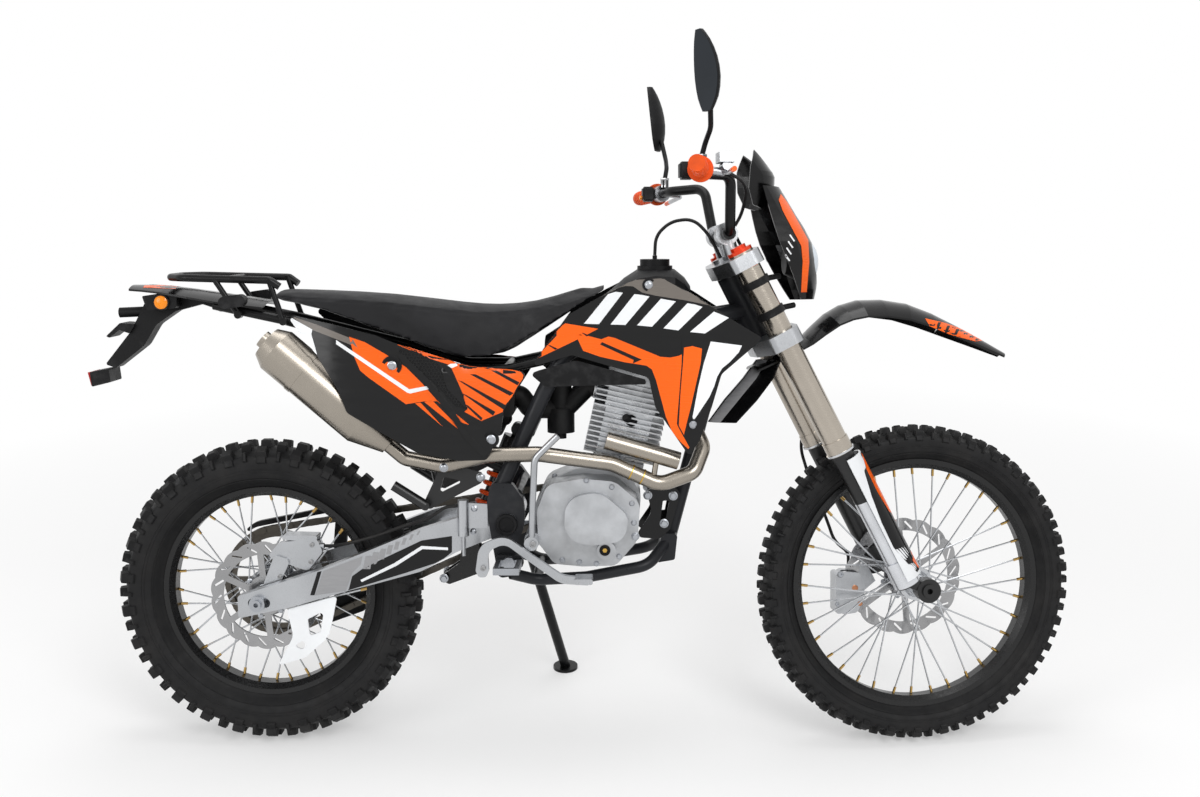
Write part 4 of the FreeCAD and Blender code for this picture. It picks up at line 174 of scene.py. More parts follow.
class Finish:
    """A procedural material with helpers for its nodes, kept in FINISHES under its name."""

    def __init__(self, name, colour, rough, metal=0.0, shine=0.5):
        self.mat = bpy.data.materials.new(name)
        self.mat.use_nodes = True
        self.tree = self.mat.node_tree
        self.bsdf = self.tree.nodes["Principled BSDF"]
        self.colour = linear(colour)
        self.rough = rough
        self.coords = None
        self.relief = None
        self.put("Base Color", self.colour)
        self.put("Roughness", rough)
        self.put("Metallic", metal)
        self.put("Specular IOR Level", shine)
        FINISHES[name] = self.mat

    def put(self, name, value):
        self.bsdf.inputs[name].default_value = value

    def feed(self, name, socket):
        self.tree.links.new(socket, self.bsdf.inputs[name])

    def node(self, kind, inputs, out=0, **settings):
        return wired(self.tree, kind, inputs, out, **settings)

    def point(self):
        """The place on the piece, in the row frame."""
        if self.coords is None:
            self.coords = self.node("ShaderNodeTexCoord", {}, "Object")
        return self.coords

    def stretched(self, scale):
        return self.node("ShaderNodeMapping", {"Vector": self.point(), "Scale": scale})

    def noise(self, scale, detail=4.0, stretch=EVEN):
        inputs = {"Vector": self.stretched(stretch), "Scale": scale, "Detail": detail, "Roughness": 0.55}
        return self.node("ShaderNodeTexNoise", inputs, "Fac")

    def cells(self, scale):
        inputs = {"Vector": self.stretched(EVEN), "Scale": scale}
        return self.node("ShaderNodeTexVoronoi", inputs, "Distance")

    def ramp(self, fac, low, high, a, b):
        """A value that runs from a to b while another runs from low to high."""
        inputs = {"Value": fac, "From Min": low, "From Max": high, "To Min": a, "To Max": b}
        return self.node("ShaderNodeMapRange", inputs)

    def mix(self, fac, a, b):
        """Colour a where fac is 0 and colour b where it is 1."""
        return self.node("ShaderNodeMix", {0: fac, 6: a, 7: b}, 2, data_type="RGBA")

    def math(self, kind, a, b=0.0):
        return self.node("ShaderNodeMath", {0: a, 1: b}, operation=kind)

    def vector(self, kind, a, b, out=0):
        return self.node("ShaderNodeVectorMath", {0: a, 1: b}, out, operation=kind)

    def bump(self, height, strength, distance):
        inputs = {"Height": height, "Strength": strength, "Distance": distance}
        if self.relief is not None:
            inputs["Normal"] = self.relief
        self.relief = self.node("ShaderNodeBump", inputs)
        self.feed("Normal", self.relief)

    def gloss(self, pattern, less, more, low=0.3, high=0.7):
        """Roughness that drifts below and above its middle value."""
        self.feed("Roughness", self.ramp(pattern, low, high, self.rough - less, self.rough + more))

    def shaded(self, dark, light, scale):
        """A slow drift of tone over the surface."""
        tone = self.ramp(self.noise(scale, 5.0), 0.3, 0.7, 0.0, 1.0)
        result = self.mix(tone, scaled(self.colour, dark), scaled(self.colour, light))
        self.feed("Base Color", result)
        return result

    def stained(self, share, colour, base):
        """Another colour laid over the base by a share."""
        self.feed("Base Color", self.mix(share, base, colour))

    def worn(self, under, base, amount=0.08):
        """Lighter, rubbed edges."""
        edge = self.ramp(self.node("ShaderNodeNewGeometry", {}, "Pointiness"), 0.52, 0.60, 0.0, 1.0)
        patch = self.ramp(self.noise(40.0), 0.45, 0.65, 0.0, amount * 4)
        self.stained(self.math("MULTIPLY", edge, patch), under, base)

    def offset(self, origin):
        """The vector from a fixed point of the bike, in the row frame."""
        return self.vector("SUBTRACT", self.point(), origin)

    def along(self, origin, axis):
        """How far a point lies from another along an axis."""
        return self.vector("DOT_PRODUCT", self.offset(origin), axis, "Value")

    def around(self, origin, axis):
        """How far a point lies from an axis."""
        cross = self.vector("CROSS_PRODUCT", self.offset(origin), axis)
        return self.node("ShaderNodeVectorMath", {0: cross}, "Value", operation="LENGTH")

    def present(self, name):
        """What a socket of the surface carries now."""
        socket = self.bsdf.inputs[name]
        return socket.links[0].from_socket if socket.links else socket.default_value

    def split(self, value, limit, colour, metal=None, rough=None):
        """Another colour, and another metal and roughness, wherever a value is over its limit."""
        over = self.math("GREATER_THAN", value, limit)
        self.stained(over, linear(colour), self.present("Base Color"))
        for name, wanted in (("Metallic", metal), ("Roughness", rough)):
            if wanted is not None:
                inputs = {0: over, 2: self.present(name), 3: wanted}
                self.feed(name, self.node("ShaderNodeMix", inputs, data_type="FLOAT"))


def moulded(name, colour):
    """Moulded plastic with a fine grain."""
    f = Finish(name, colour, 0.45, shine=0.14)
    f.worn(scaled(f.colour, 2.5, 0.03), f.shaded(0.8, 1.2, 9.0))
    f.gloss(f.noise(30.0), 0.06, 0.08)
    f.bump(f.cells(900.0), 0.35, 0.00004)
    return f


def glossy(name, colour, rough=0.16):
    """Shiny moulded bodywork with faint wipe marks."""
    f = Finish(name, colour, rough, shine=0.3)
    f.shaded(0.9, 1.08, 4.0)
    f.gloss(f.noise(18.0, 6.0, (1, 1, 6)), 0.04, 0.12, high=0.75)
    f.bump(f.noise(70.0), 0.04, 0.0006)


def painted(name, colour, rough=0.35):
    """Paint over welded tube, with chips at the edges."""
    f = Finish(name, colour, rough, shine=0.2)
    f.worn(linear((96, 95, 93)), f.shaded(0.82, 1.15, 14.0), 0.02)
    f.gloss(f.noise(26.0), 0.08, 0.1)
    f.bump(f.noise(420.0), 0.12, 0.0001)


def cast(name, colour, rough=0.42):
    """Sand-cast and bead-blasted alloy."""
    f = Finish(name, colour, rough, metal=0.85)
    grime = f.ramp(f.noise(9.0, 8.0), 0.42, 0.72, 0.0, 0.35)
    f.stained(grime, linear((92, 90, 86)), f.shaded(0.86, 1.1, 25.0))
    f.gloss(f.noise(60.0), 0.08, 0.12)
    f.bump(f.noise(900.0, 3.0), 0.35, 0.00012)


def brushed(name, colour, rough, stretch=EVEN, metal=1.0):
    """Metal with the lines of its finishing."""
    f = Finish(name, colour, rough, metal=metal)
    f.shaded(0.88, 1.08, 7.0)
    lines = f.noise(160.0, 5.0, stretch)
    f.gloss(lines, 0.08, 0.12, 0.25, 0.75)
    f.bump(lines, 0.08, 0.0002)
    return f


def rubber(name, colour, rough, bloom=0.12):
    """Rubber with a dusty bloom."""
    f = Finish(name, colour, rough, shine=0.25)
    dust = f.ramp(f.noise(16.0, 7.0), 0.45, 0.75, 0.0, bloom)
    f.stained(dust, linear((96, 92, 88)), f.shaded(0.8, 1.2, 22.0))
    f.gloss(f.noise(45.0), 0.1, 0.12)
    f.bump(f.noise(480.0), 0.2, 0.0002)


def vinyl(name, colour):
    """Seat cover with a pebbled grain."""
    f = Finish(name, colour, 0.5, shine=0.2)
    f.shaded(0.8, 1.2, 12.0)
    f.gloss(f.noise(30.0), 0.05, 0.1)
    f.bump(f.cells(520.0), 0.5, 0.00025)
    f.bump(f.noise(60.0), 0.1, 0.0006)


def lens(name, colour):
    """Tinted lamp plastic."""
    f = Finish(name, colour, 0.12)
    f.put("Transmission Weight", 0.1)
    f.put("IOR", 1.45)
    f.bump(f.noise(30.0), 0.02, 0.0005)


LOOKS = (
    (painted, "frame_paint", (34, 35, 38)),
    (painted, "black_paint", (14, 14, 15), 0.3),
    (glossy, "gloss_black", BLACK),
    (moulded, "matt_black", SOFT_BLACK),
    (glossy, "taupe_gloss", (112, 106, 100), 0.22),
    (glossy, "gloss_white", (236, 238, 240), 0.2),
    (cast, "cast_alloy", (182, 184, 187)),
    (cast, "fin_alloy", (204, 206, 209), 0.3),
    (brushed, "satin_alloy", (178, 180, 183), 0.3, (14, 1, 1)),
    (brushed, "bright_alloy", (196, 198, 201), 0.16, (1, 1, 8)),
    (brushed, "brushed_steel", (156, 149, 139), 0.26, (6, 6, 1)),
    (brushed, "bright_steel", (160, 160, 161), 0.2),
    (brushed, "zinc", (168, 171, 176), 0.3),
    (brushed, "dark_steel", (92, 88, 82), 0.4),
    (brushed, "black_anodised", BLACK, 0.28, EVEN, 0.2),
    (brushed, "brass", (196, 160, 82), 0.25),
    (brushed, "bronze", (196, 138, 104), 0.35),
    (rubber, "tyre_rubber", (19, 19, 20), 0.62, 0.07),
    (rubber, "soft_rubber", (17, 17, 18), 0.5),
    (rubber, "orange_rubber", (232, 84, 16), 0.45),
    (glossy, "orange_gloss", ORANGE, 0.22),
    (glossy, "grey_gloss", (150, 150, 152), 0.25),
    (painted, "orange_paint", (226, 78, 20), 0.3),
    (lens, "amber_lens", (255, 146, 4)),
    (lens, "red_lens", (176, 14, 12)),
    (vinyl, "vinyl", (24, 24, 26)),
    (brushed, "mirror_glass", (46, 50, 55), 0.02),
)


def finishes():
    """Every material."""
    for make, name, colour, *rest in LOOKS:
        make(name, colour, *rest)
    split_finishes()


SLIDER_TOP = 0.240
SLIDER_FOOT = 0.034
TUBE_CAP = 0.831
NIPPLE_START = {"front": 0.239, "rear": 0.199}
LEVER_TIP = 0.384
HANGER_FOOT = 0.455
LAMP_FACE = Vector((1.193, 0.0, 1.058))


def split_finishes():
    """The finishes of pieces that change colour along their length."""
    turn = STEERED.to_3x3()
    foot = STEERED @ STEER_FOOT
    up = turn @ STEER_UP
    left = turn @ LEFT
    slider = brushed("fork_slider", (214, 216, 220), 0.2, (1, 1, 8), 0.8)
    for way, limit in ((up, SLIDER_TOP), (-up, -SLIDER_FOOT), (left, 0.0)):
        slider.split(slider.along(foot, way), limit, BLACK, 0.0, 0.35)
    tube = brushed("fork_tube", (176, 168, 157), 0.2, (1, 1, 6))
    tube.split(tube.along(foot, up), TUBE_CAP, (226, 62, 20), 0.4)
    lever = brushed("lever_alloy", (172, 174, 177), 0.3)
    lever.split(lever.math("ABSOLUTE", lever.along(foot, left)), LEVER_TIP, ORANGE, 0.0, 0.4)
    glass = moulded("lamp_look", SOFT_BLACK)
    glass.split(glass.along(STEERED @ LAMP_FACE, turn @ FORWARD), 0.0, (214, 222, 230), 0.1, 0.1)
    pegs = brushed("peg_steel", (168, 171, 176), 0.3)
    pegs.split(pegs.along(CHASSIS @ (UP * HANGER_FOOT), CHASSIS.to_3x3() @ UP), 0.0, BLACK, 0.0, 0.35)
    for end, place, axle in (("front", STEERED, FRONT_AXLE), ("rear", CHASSIS, REAR_AXLE)):
        hub = brushed(end + "_hub_look", (192, 194, 197), 0.2)
        reach = hub.around(place @ axle, place.to_3x3() @ LEFT)
        hub.split(reach, NIPPLE_START[end], (178, 146, 86))


CAD_LOOKS = {
    "frame_paint": "main_frame",
    "gloss_black": "engine_plates tank_shrouds side_panels rear_fender front_fender headlight_mask",
    "black_paint": "subframe tail_rack side_stand handlebar",
    "satin_alloy": "swingarm rear_brake foot_controls triple_clamps front_brake",
    "zinc": "cross_bolts",
    "orange_paint": "rear_suspension",
    "cast_alloy": "crankcase",
    "fin_alloy": "cylinder",
    "soft_rubber": "intake hoses front_hose",
    "brushed_steel": "exhaust_header silencer",
    "matt_black": "seat fuel_tank fuel_cap lower_covers tail_lamps inner_fender chain_guard mirrors",
    "dark_steel": "chain rear_sprocket",
    "gloss_white": "disc_guard fork_guards",
    "peg_steel": "footpegs",
    "tyre_rubber": "rear_tyre front_tyre",
    "black_anodised": "rear_rim front_rim",
    "rear_hub_look": "rear_hub",
    "bright_steel": "rear_disc front_disc",
    "fork_tube": "fork_tubes",
    "fork_slider": "fork_lowers",
    "lamp_look": "headlight",
    "orange_rubber": "grips",
    "lever_alloy": "controls",
    "front_hub_look": "front_hub",
}


def dress_nodes():
    """Gives every CAD node its finish."""
    for look, names in CAD_LOOKS.items():
        for name in names.split():
            slots = NODES[name].data.materials
            for i in range(len(slots)):
                slots[i] = FINISHES[look]
            if not slots:
                slots.append(FINISHES[look])


def piece(name, mesh, finish, body):
    """An object from a mesh in upright coordinates, riding on its body."""
    obj = placed(name, mesh)
    obj.matrix_world = PLACES[body]
    for look in ([finish] if isinstance(finish, str) else finish):
        obj.data.materials.append(FINISHES[look])
    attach(obj, body)
    return obj


def smooth(mesh, degrees=35.0):
    """Soft shading with creases where faces meet sharply."""
    for polygon in mesh.polygons:
        polygon.use_smooth = True
    mesh.set_sharp_from_angle(angle=math.radians(degrees))
    return mesh


def mesh_piece(name, bm, finish, body="chassis", degrees=35.0, outward=True):
    """A piece from a finished bmesh, its faces turned outwards unless they already lie right."""
    if outward:
        bmesh.ops.recalc_face_normals(bm, faces=bm.faces)
    mesh = bpy.data.meshes.new(name)
    bm.to_mesh(mesh)
    bm.free()
    return piece(name, smooth(mesh, degrees), finish, body)


TREES = {}


def surface(node):
    """A search tree over a CAD node, in the row frame."""
    if node not in TREES:
        bm = bmesh.new()
        bm.from_mesh(NODES[node].data)
        TREES[node] = BVHTree.FromBMesh(bm)
        bm.free()
    return TREES[node]


def shows(p, node):
    """True where the sight line through a picture point meets the right half of a node."""
    hit = surface(node).ray_cast(*sight(*p))[0]
    return hit is not None and (PLACES[BODY_OF[node]].inverted() @ hit).y <= 0


def drawn_in(p, middle, node):
    """A picture point moved towards the middle of its outline until it meets the node."""
    for k in range(14):
        q = p.lerp(middle, k * 0.05)
        if shows(q, node):
            return q
    return p


def facing(normal, ray):
    """A normal turned against a ray."""
    return -normal if normal.dot(ray) > 0 else normal


def on_surface(u, v, node):
    """Where the sight line through a picture point meets a node, and the normal there."""
    eye, ray = sight(u, v)
    hit, normal = surface(node).ray_cast(eye, ray)[:2]
    if hit is None:
        low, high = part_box(node)
        middle = (low + high) / 2
        hit, normal = surface(node).find_nearest(eye + ray * (middle - eye).dot(ray))[:2]
    return hit, facing(normal, ray)


def dense(outline, pitch):
    """The outline's points with more between them, no further apart than the pitch."""
    out = []
    for i, a in enumerate(outline):
        b = outline[(i + 1) % len(outline)]
        steps = max(int(math.dist(a, b) / pitch), 1)
        for k in range(steps):
            t = k / steps
            out.append((a[0] + (b[0] - a[0]) * t, a[1] + (b[1] - a[1]) * t))
    return out


def sticker_mesh(outline, pitch):
    """A flat triangulated patch inside an outline, in picture coordinates."""
    rim = dense(outline, pitch)
    points = [Vector(p) for p in rim]
    edges = [(i, (i + 1) % len(rim)) for i in range(len(rim))]
    us = [p[0] for p in rim]
    vs = [p[1] for p in rim]
    u = min(us) + pitch * 0.6
    while u < max(us):
        v = min(vs) + pitch * 0.6
        while v < max(vs):
            points.append(Vector((u, v)))
            v += pitch
        u += pitch
    made = delaunay_2d_cdt(points, edges, [], 1, 1e-4)
    return made[0], made[2]


def sticker(name, outline, node, finish, lift=0.0006, pitch=5.0, skirt=False):
    """A thin printed patch laid on a panel where the picture shows it, and its twin on the other side."""
    points, faces = sticker_mesh(outline, pitch)
    middle = sum((Vector(p) for p in outline), Vector((0, 0))) / len(outline)
    place = PLACES[BODY_OF[node]]
    back = place.inverted()
    ray = place.to_3x3() @ RIGHT
    bm = bmesh.new()
    right = []
    for p in points:
        hit, normal = on_surface(*drawn_in(Vector(p), middle, node), node)
        right.append(bm.verts.new(back @ (hit + normal * lift)))
    left = []
    for vert in right:
        x, y, z = vert.co
        hit, normal = surface(node).ray_cast(place @ Vector((x, 0.3 - y, z)), ray)[:2]
        if hit is None:
            hit = place @ Vector((x, -y, z))
            normal = -ray
        left.append(bm.verts.new(back @ (hit + facing(normal, ray) * lift)))
    for f in faces:
        bm.faces.new([right[i] for i in f])
        bm.faces.new([left[i] for i in reversed(f)])
    if skirt:
        rim = len(dense(outline, pitch))
        for side in (right[:rim], left[:rim]):
            low = [v.co - LEFT * math.copysign(lift + 0.0005, v.co.y) for v in side]
            bridge(bm, side, [bm.verts.new(p) for p in low])
    mesh_piece(name, bm, finish, BODY_OF[node], outward=skirt)


def ring_of(bm, centre, across, other, points):
    """A ring of points given by (a, b) in the plane of two directions."""
    return [bm.verts.new(centre + across * a + other * b) for a, b in points]


def bridge(bm, low, high):
    count = len(low)
    for i in range(count):
        j = (i + 1) % count
        bm.faces.new([low[i], low[j], high[j], high[i]])


def square_axes(axis):
    """Two directions square to an axis and to each other."""
    guide = UP if abs(axis.z) < 0.9 else FORWARD
    across = axis.cross(guide).normalized()
    return across, axis.cross(across).normalized()


def skinned(bm, rings):
    """Joins rings into a skin that is closed at both ends."""
    for low, high in zip(rings, rings[1:]):
        bridge(bm, low, high)
    bm.faces.new(rings[0])
    bm.faces.new(list(reversed(rings[-1])))


def circle(radius, sides):
    return [(radius * math.cos(2 * math.pi * i / sides), radius * math.sin(2 * math.pi * i / sides))
            for i in range(sides)]


def turned(bm, start, axis, profile, sides=24):
    """A body of revolution from (distance along the axis, radius) pairs, closed at both ends."""
    across, other = square_axes(axis)
    skinned(bm, [ring_of(bm, start + axis * along, across, other, circle(radius, sides))
                 for along, radius in profile])


def smooth_path(points, steps=6):
    """More points on a smooth curve through the given ones."""
    out = []
    last = len(points) - 1
    for i in range(last):
        before, a, b, after = points[max(i - 1, 0)], points[i], points[i + 1], points[min(i + 2, last)]
        for k in range(steps):
            t = k / steps
            m0 = (b - before) * 0.5
            m1 = (after - a) * 0.5
            out.append(a * (2 * t**3 - 3 * t**2 + 1) + m0 * (t**3 - 2 * t**2 + t)
                       + b * (3 * t**2 - 2 * t**3) + m1 * (t**3 - t**2))
    out.append(points[-1])
    return out


def pipe(bm, path, radius, sides=10):
    """A round tube along a path."""
    rings = []
    across = None
    for i, p in enumerate(path):
        ahead = (path[min(i + 1, len(path) - 1)] - path[max(i - 1, 0)]).normalized()
        if across is None:
            across = square_axes(ahead)[0]
        across = (across - ahead * across.dot(ahead)).normalized()
        rings.append(ring_of(bm, p, across, ahead.cross(across), circle(radius, sides)))
    skinned(bm, rings)


# Tyres

CROWN_ARC = 1.987
LUG_CHAMFER = 0.0011
LUG_DRAFT = 0.0012
LUG_FOOT = -0.0015
# Knobs by row: degrees from the middle, then length and width as shares of the pitch and of half the tyre
TREAD = (((0, 0.3, 0.46), (-27, 0.3, 0.4), (27, 0.3, 0.4)), ((-13, 0.26, 0.4), (13, 0.26, 0.4)))
# Height up the sidewall and length of the side knobs, in the two rows
SIDE_KNOBS = ((0.66, 0.26), (0.71, 0.12))
# Shares of half the width and of the height from the rim to the tread
SIDEWALL = ((0.93, 0.68), (0.96, 0.5), (0.86, 0.24))
RIBS = ((0.2, 0.835), (0.36, 0.925), (0.42, 0.945))
RIB_RADIUS = 0.0011
SIDE_KNOB_OUT = 0.93
SIDE_KNOB_LEAN = 0.32
SIDE_KNOB_WIDTH = 0.22
SIDE_KNOB_HEIGHT = 0.0042
BEAD_INSET = 0.0043


def lug(bm, spot, along, across, out, length, width, height):
    """A knob with drafted sides and a chamfered top, its foot a little inside the carcass."""
    rings = []
    levels = ((LUG_FOOT, 0.0), (height - LUG_CHAMFER, LUG_DRAFT), (height, LUG_DRAFT + LUG_CHAMFER))
    for level, shrink in levels:
        a, b = length / 2 - shrink, width / 2 - shrink
        rings.append(ring_of(bm, spot + out * level, along, across, ((-a, -b), (a, -b), (a, b), (-a, b))))
    for low, high in zip(rings, rings[1:]):
        bridge(bm, low, high)
    bm.faces.new(rings[-1])


def tyre_profile(inner, hub, half, rim_radius, rim_width, tall):
    """The carcass from bead to bead as (distance to the left, radius) pairs."""
    foot = rim_width / 2 - BEAD_INSET
    crown = [math.radians(a) for a in (0, 9, 18, 27)]
    side = [Vector((inner * math.sin(a), hub + inner * math.cos(a))) for a in crown]
    side += [Vector((half * wide, rim_radius + share * tall)) for wide, share in SIDEWALL]
    side += [Vector((foot + 0.003, rim_radius + 0.004)), Vector((foot - 0.0016, rim_radius - 0.009))]
    curve = smooth_path(side, 4)
    return [(-p.x, p.y) for p in reversed(curve[1:])] + [(p.x, p.y) for p in curve]


def tyre(end, axle, radius, width, rim_radius, rim_width, height, pitches):
    """A knobbly tyre: rows of three knobs and of two in turn, over a ribbed carcass."""
    half = width / 2
    arc = CROWN_ARC * half
    inner = arc - height
    hub = radius - arc
    tall = radius - rim_radius
    bm = bmesh.new()
    segments = pitches * 4
    turns = [2 * math.pi * i / segments for i in range(segments + 1)]
    profile = tyre_profile(inner, hub, half, rim_radius, rim_width, tall)
    rings = [[bm.verts.new(axle + spoke(a) * r + LEFT * y) for y, r in profile] for a in turns[:-1]]
    for i, low in enumerate(rings):
        high = rings[(i + 1) % segments]
        for k in range(len(profile) - 1):
            bm.faces.new([low[k], low[k + 1], high[k + 1], high[k]])
    pitch = 2 * math.pi * radius / pitches
    for i in range(pitches * 2):
        a = math.pi * i / pitches - math.pi / 2
        radial = spoke(a)
        along = Vector((-math.sin(a), 0, math.cos(a)))
        for degrees, length, reach in TREAD[i % 2]:
            t = math.radians(degrees)
            out = radial * math.cos(t) + LEFT * math.sin(t)
            across = LEFT * math.cos(t) - radial * math.sin(t)
            spot = axle + radial * hub + out * inner
            lug(bm, spot, along, across, out, pitch * length, half * reach, height)
        level, length = SIDE_KNOBS[i % 2]
        for way in (-1, 1):
            spot = axle + radial * (rim_radius + level * tall) + LEFT * (way * half * SIDE_KNOB_OUT)
            across = (radial - LEFT * (way * SIDE_KNOB_LEAN)).normalized()
            out = along.cross(across)
            out = out if out.y * way > 0 else -out
            lug(bm, spot, along, across, out, pitch * length, tall * SIDE_KNOB_WIDTH, SIDE_KNOB_HEIGHT)
    for way in (-1, 1):
        for share, wide in RIBS:
            middle = axle + LEFT * (way * half * wide)
            pipe(bm, [middle + spoke(a) * (rim_radius + share * tall) for a in turns], RIB_RADIUS, 6)
    made = mesh_piece(end + "_knobbly_tyre", bm, "tyre_rubber", end + "_wheel", 40.0)
    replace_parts(made, end + "_tyre")


def tyres():
    tyre("rear", REAR_AXLE, REAR_RADIUS, 0.118, 0.236, 0.064, 0.015, 26)
    tyre("front", FRONT_AXLE, FRONT_RADIUS, 0.092, 0.276, 0.052, 0.013, 34)


# Chain

CHAIN_PITCH = 0.015875
CHAIN_LINE = 0.073
COUNTERSHAFT = mm(628, 0, 522)
REAR_TEETH = 48
FRONT_TEETH = 13
PLATE = 0.0018
PLATE_RADIUS = 0.0068
# How far the plates of the inner and of the outer links stand off the chain's middle
PLATE_OFFSETS = (0.0048, 0.0068)
# Half length, radius and sides of the pin and of the roller
PIN_AND_ROLLER = ((0.0084, 0.0026, 8), (0.0047, 0.0051, 10))


def sprocket_radius(teeth):
    return CHAIN_PITCH / (2 * math.sin(math.pi / teeth))


def chain_route():
    """Points of the chain's loop, one for each pin."""
    front = COUNTERSHAFT
    rear = Vector((0, 0, REAR_RADIUS))
    big, small = sprocket_radius(REAR_TEETH), sprocket_radius(FRONT_TEETH)
    gap = front - rear
    tilt = math.atan2(gap.z, gap.x)
    opened = math.acos((big - small) / gap.length)
    straight = gap.length * math.sin(opened)
    round_big = big * (2 * math.pi - 2 * opened)
    round_small = small * 2 * opened
    whole = round_big + round_small + 2 * straight
    count = 2 * round(whole / CHAIN_PITCH / 2)
    low, high = spoke(tilt - opened), spoke(tilt + opened)

    def place(s):
        if s <= round_big:
            return rear + spoke(tilt + opened + s / big) * big
        s -= round_big
        if s <= straight:
            return (rear + low * big).lerp(front + low * small, s / straight)
        s -= straight
        if s <= round_small:
            return front + spoke(tilt - opened + s / small) * small
        return (front + high * small).lerp(rear + high * big, (s - round_small) / straight)

    return [place(i * whole / count) for i in range(count)]


def link_plate(bm, a, b, side):
    """A waisted side plate between two pins."""
    ahead = (b - a).normalized()
    up = Vector((-ahead.z, 0, ahead.x))
    outline = []
    for centre, reach in ((a, -PLATE_RADIUS), (b, PLATE_RADIUS)):
        for k in range(7):
            t = math.pi * (k / 6 - 0.5)
            outline.append(centre + ahead * (reach * math.cos(t)) + up * (reach * math.sin(t)))
    skinned(bm, [[bm.verts.new(p + LEFT * y) for p in outline] for y in (side, side + PLATE)])


def chain():
    """Inner and outer links in turn, with a pin and a roller at every joint."""
    pins = chain_route()
    bm = bmesh.new()
    for i, a in enumerate(pins):
        b = pins[(i + 1) % len(pins)]
        wide = PLATE_OFFSETS[i % 2]
        for side in (-wide - PLATE, wide):
            link_plate(bm, a, b, CHAIN_LINE + side)
        for half, radius, sides in PIN_AND_ROLLER:
            turned(bm, a + LEFT * (CHAIN_LINE - half), LEFT, ((0, radius), (2 * half, radius)), sides)
    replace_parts(mesh_piece("chain_links", bm, "dark_steel"), "chain")


# Seat

SEAT_VOXEL = 0.006
SEAT_PUFF = 0.004
SEAT_SHRINK = 0.0025
# The seam's height along the seat, and its two grooves: depth, distance below it and half width
SEAT_SEAM = ((0.036, 0.994), (0.15, 0.988), (0.29, 0.977), (0.44, 0.959), (0.52, 0.954), (0.6, 0.961),
             (0.68, 0.983), (0.75, 1.008))
GROOVES = ((0.0022, 0.0, 0.0035), (0.0012, 0.012, 0.002))


def seat():
    """The pad, swelled under its cover and grooved along the seam at the foot of its crown."""
    made = placed("seat_pad", NODES["seat"].data.copy())
    bpy.context.view_layer.objects.active = made
    remesh = made.modifiers.new("remesh", "REMESH")
    remesh.mode = "VOXEL"
    remesh.voxel_size = SEAT_VOXEL
    apply(made)
    normals = [v.normal.copy() for v in made.data.vertices]
    for v, n in zip(made.data.vertices, normals):
        v.co -= n * SEAT_SHRINK
    rest = [v.co.copy() for v in made.data.vertices]
    swell(made)
    for v, start in zip(made.data.vertices, rest):
        moved = v.co - start
        if moved.length > SEAT_PUFF:
            v.co = start + moved * (SEAT_PUFF / moved.length)
    back = CHASSIS.inverted()
    upright = CHASSIS.to_3x3().inverted()
    for v in made.data.vertices:
        p = back @ v.co
        below = height_at(SEAT_SEAM, p.x) - p.z
        sideways = min(abs((upright @ v.normal).y) * 1.6, 1)
        depth = sum(deep * math.exp(-((below - at) / wide) ** 2) for deep, at, wide in GROOVES)
        v.co -= v.normal * (depth * sideways)
    made.modifiers.new("refine", "SUBSURF").levels = 1
    apply(made)
    made.data.materials.clear()
    made.data.materials.append(FINISHES["vinyl"])
    smooth(made.data, 60.0)
    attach(made, "chassis")
    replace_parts(made, "seat")


def height_at(line, u):
    """The height of a bent line at a place along it."""
    for (u0, v0), (u1, v1) in zip(line, line[1:]):
        if u <= u1:
            return v0 + (v1 - v0) * (u - u0) / (u1 - u0)
    return line[-1][1]


def apply(obj):
    """Fixes all modifiers of an object into its mesh."""
    graph = bpy.context.evaluated_depsgraph_get()
    fixed = bpy.data.meshes.new_from_object(obj.evaluated_get(graph))
    obj.modifiers.clear()
    obj.data = fixed


def swell(obj):
    """A short cloth run with air inside."""
    steps = 20
    cloth = obj.modifiers.new("cloth", "CLOTH")
    cloth.settings.use_pressure = True
    cloth.settings.uniform_pressure_force = 4.0
    cloth.settings.effector_weights.gravity = 0.0
    cloth.point_cache.frame_start = 1
    cloth.point_cache.frame_end = steps
    for f in range(1, steps + 1):
        bpy.context.scene.frame_set(f)
    apply(obj)
    bpy.context.scene.frame_set(1)


# Printed panels, traced in the picture

BAND_TOP = ((586, 306), (600, 298.5), (613, 291.5), (642, 295), (665, 299.5), (698, 305), (732, 319))
BAND_FOOT = ((560, 323), (643, 325.5), (697, 333), (730, 335))
BAND_STRIPES = 5
BAND_START = 584.0
BAND_STEP = 26.5
BAND_WIDTH = 15.0
BAND_SLANT = 24.0
ARM_SLASHES = 8
MASK_SLASHES = 5
FENDER_SLASHES = 3


def band_stripes():
    """Plain slanted stripes along the upper part of the shroud."""
    stripes = []
    for i in range(BAND_STRIPES):
        foot = BAND_START + i * BAND_STEP
        top = foot + BAND_SLANT
        ends = ((BAND_FOOT, foot), (BAND_TOP, top), (BAND_TOP, top + BAND_WIDTH * 0.5),
                (BAND_TOP, top + BAND_WIDTH), (BAND_FOOT, foot + BAND_WIDTH))
        stripes.append([(u, height_at(line, u)) for line, u in ends])
    return stripes


def slanted(u, v, width, height, lean):
    return [(u, v), (u + width, v), (u + width - lean, v + height), (u - lean, v + height)]


def arm_slashes():
    """Slanted bars on the arm, each shorter and thinner than the one behind it."""
    shares = [i / ARM_SLASHES for i in range(ARM_SLASHES)]
    return [slanted(365.5 + i * 7.6, 556.0 - i * 3.6, 6.0 * (1 - share) + 1.2, 10.0 * (1 - share) + 3.0, 2.4)
            for i, share in enumerate(shares)]


def mask_slashes():
    starts = [(795.0 - i * 1.6, 235.0 + i * 6.5) for i in range(MASK_SLASHES)]
    return [[(u - 6.0, v), (u - 4.6, v - 0.6), (u, v + 6.0), (u - 1.4, v + 6.6)] for u, v in starts]


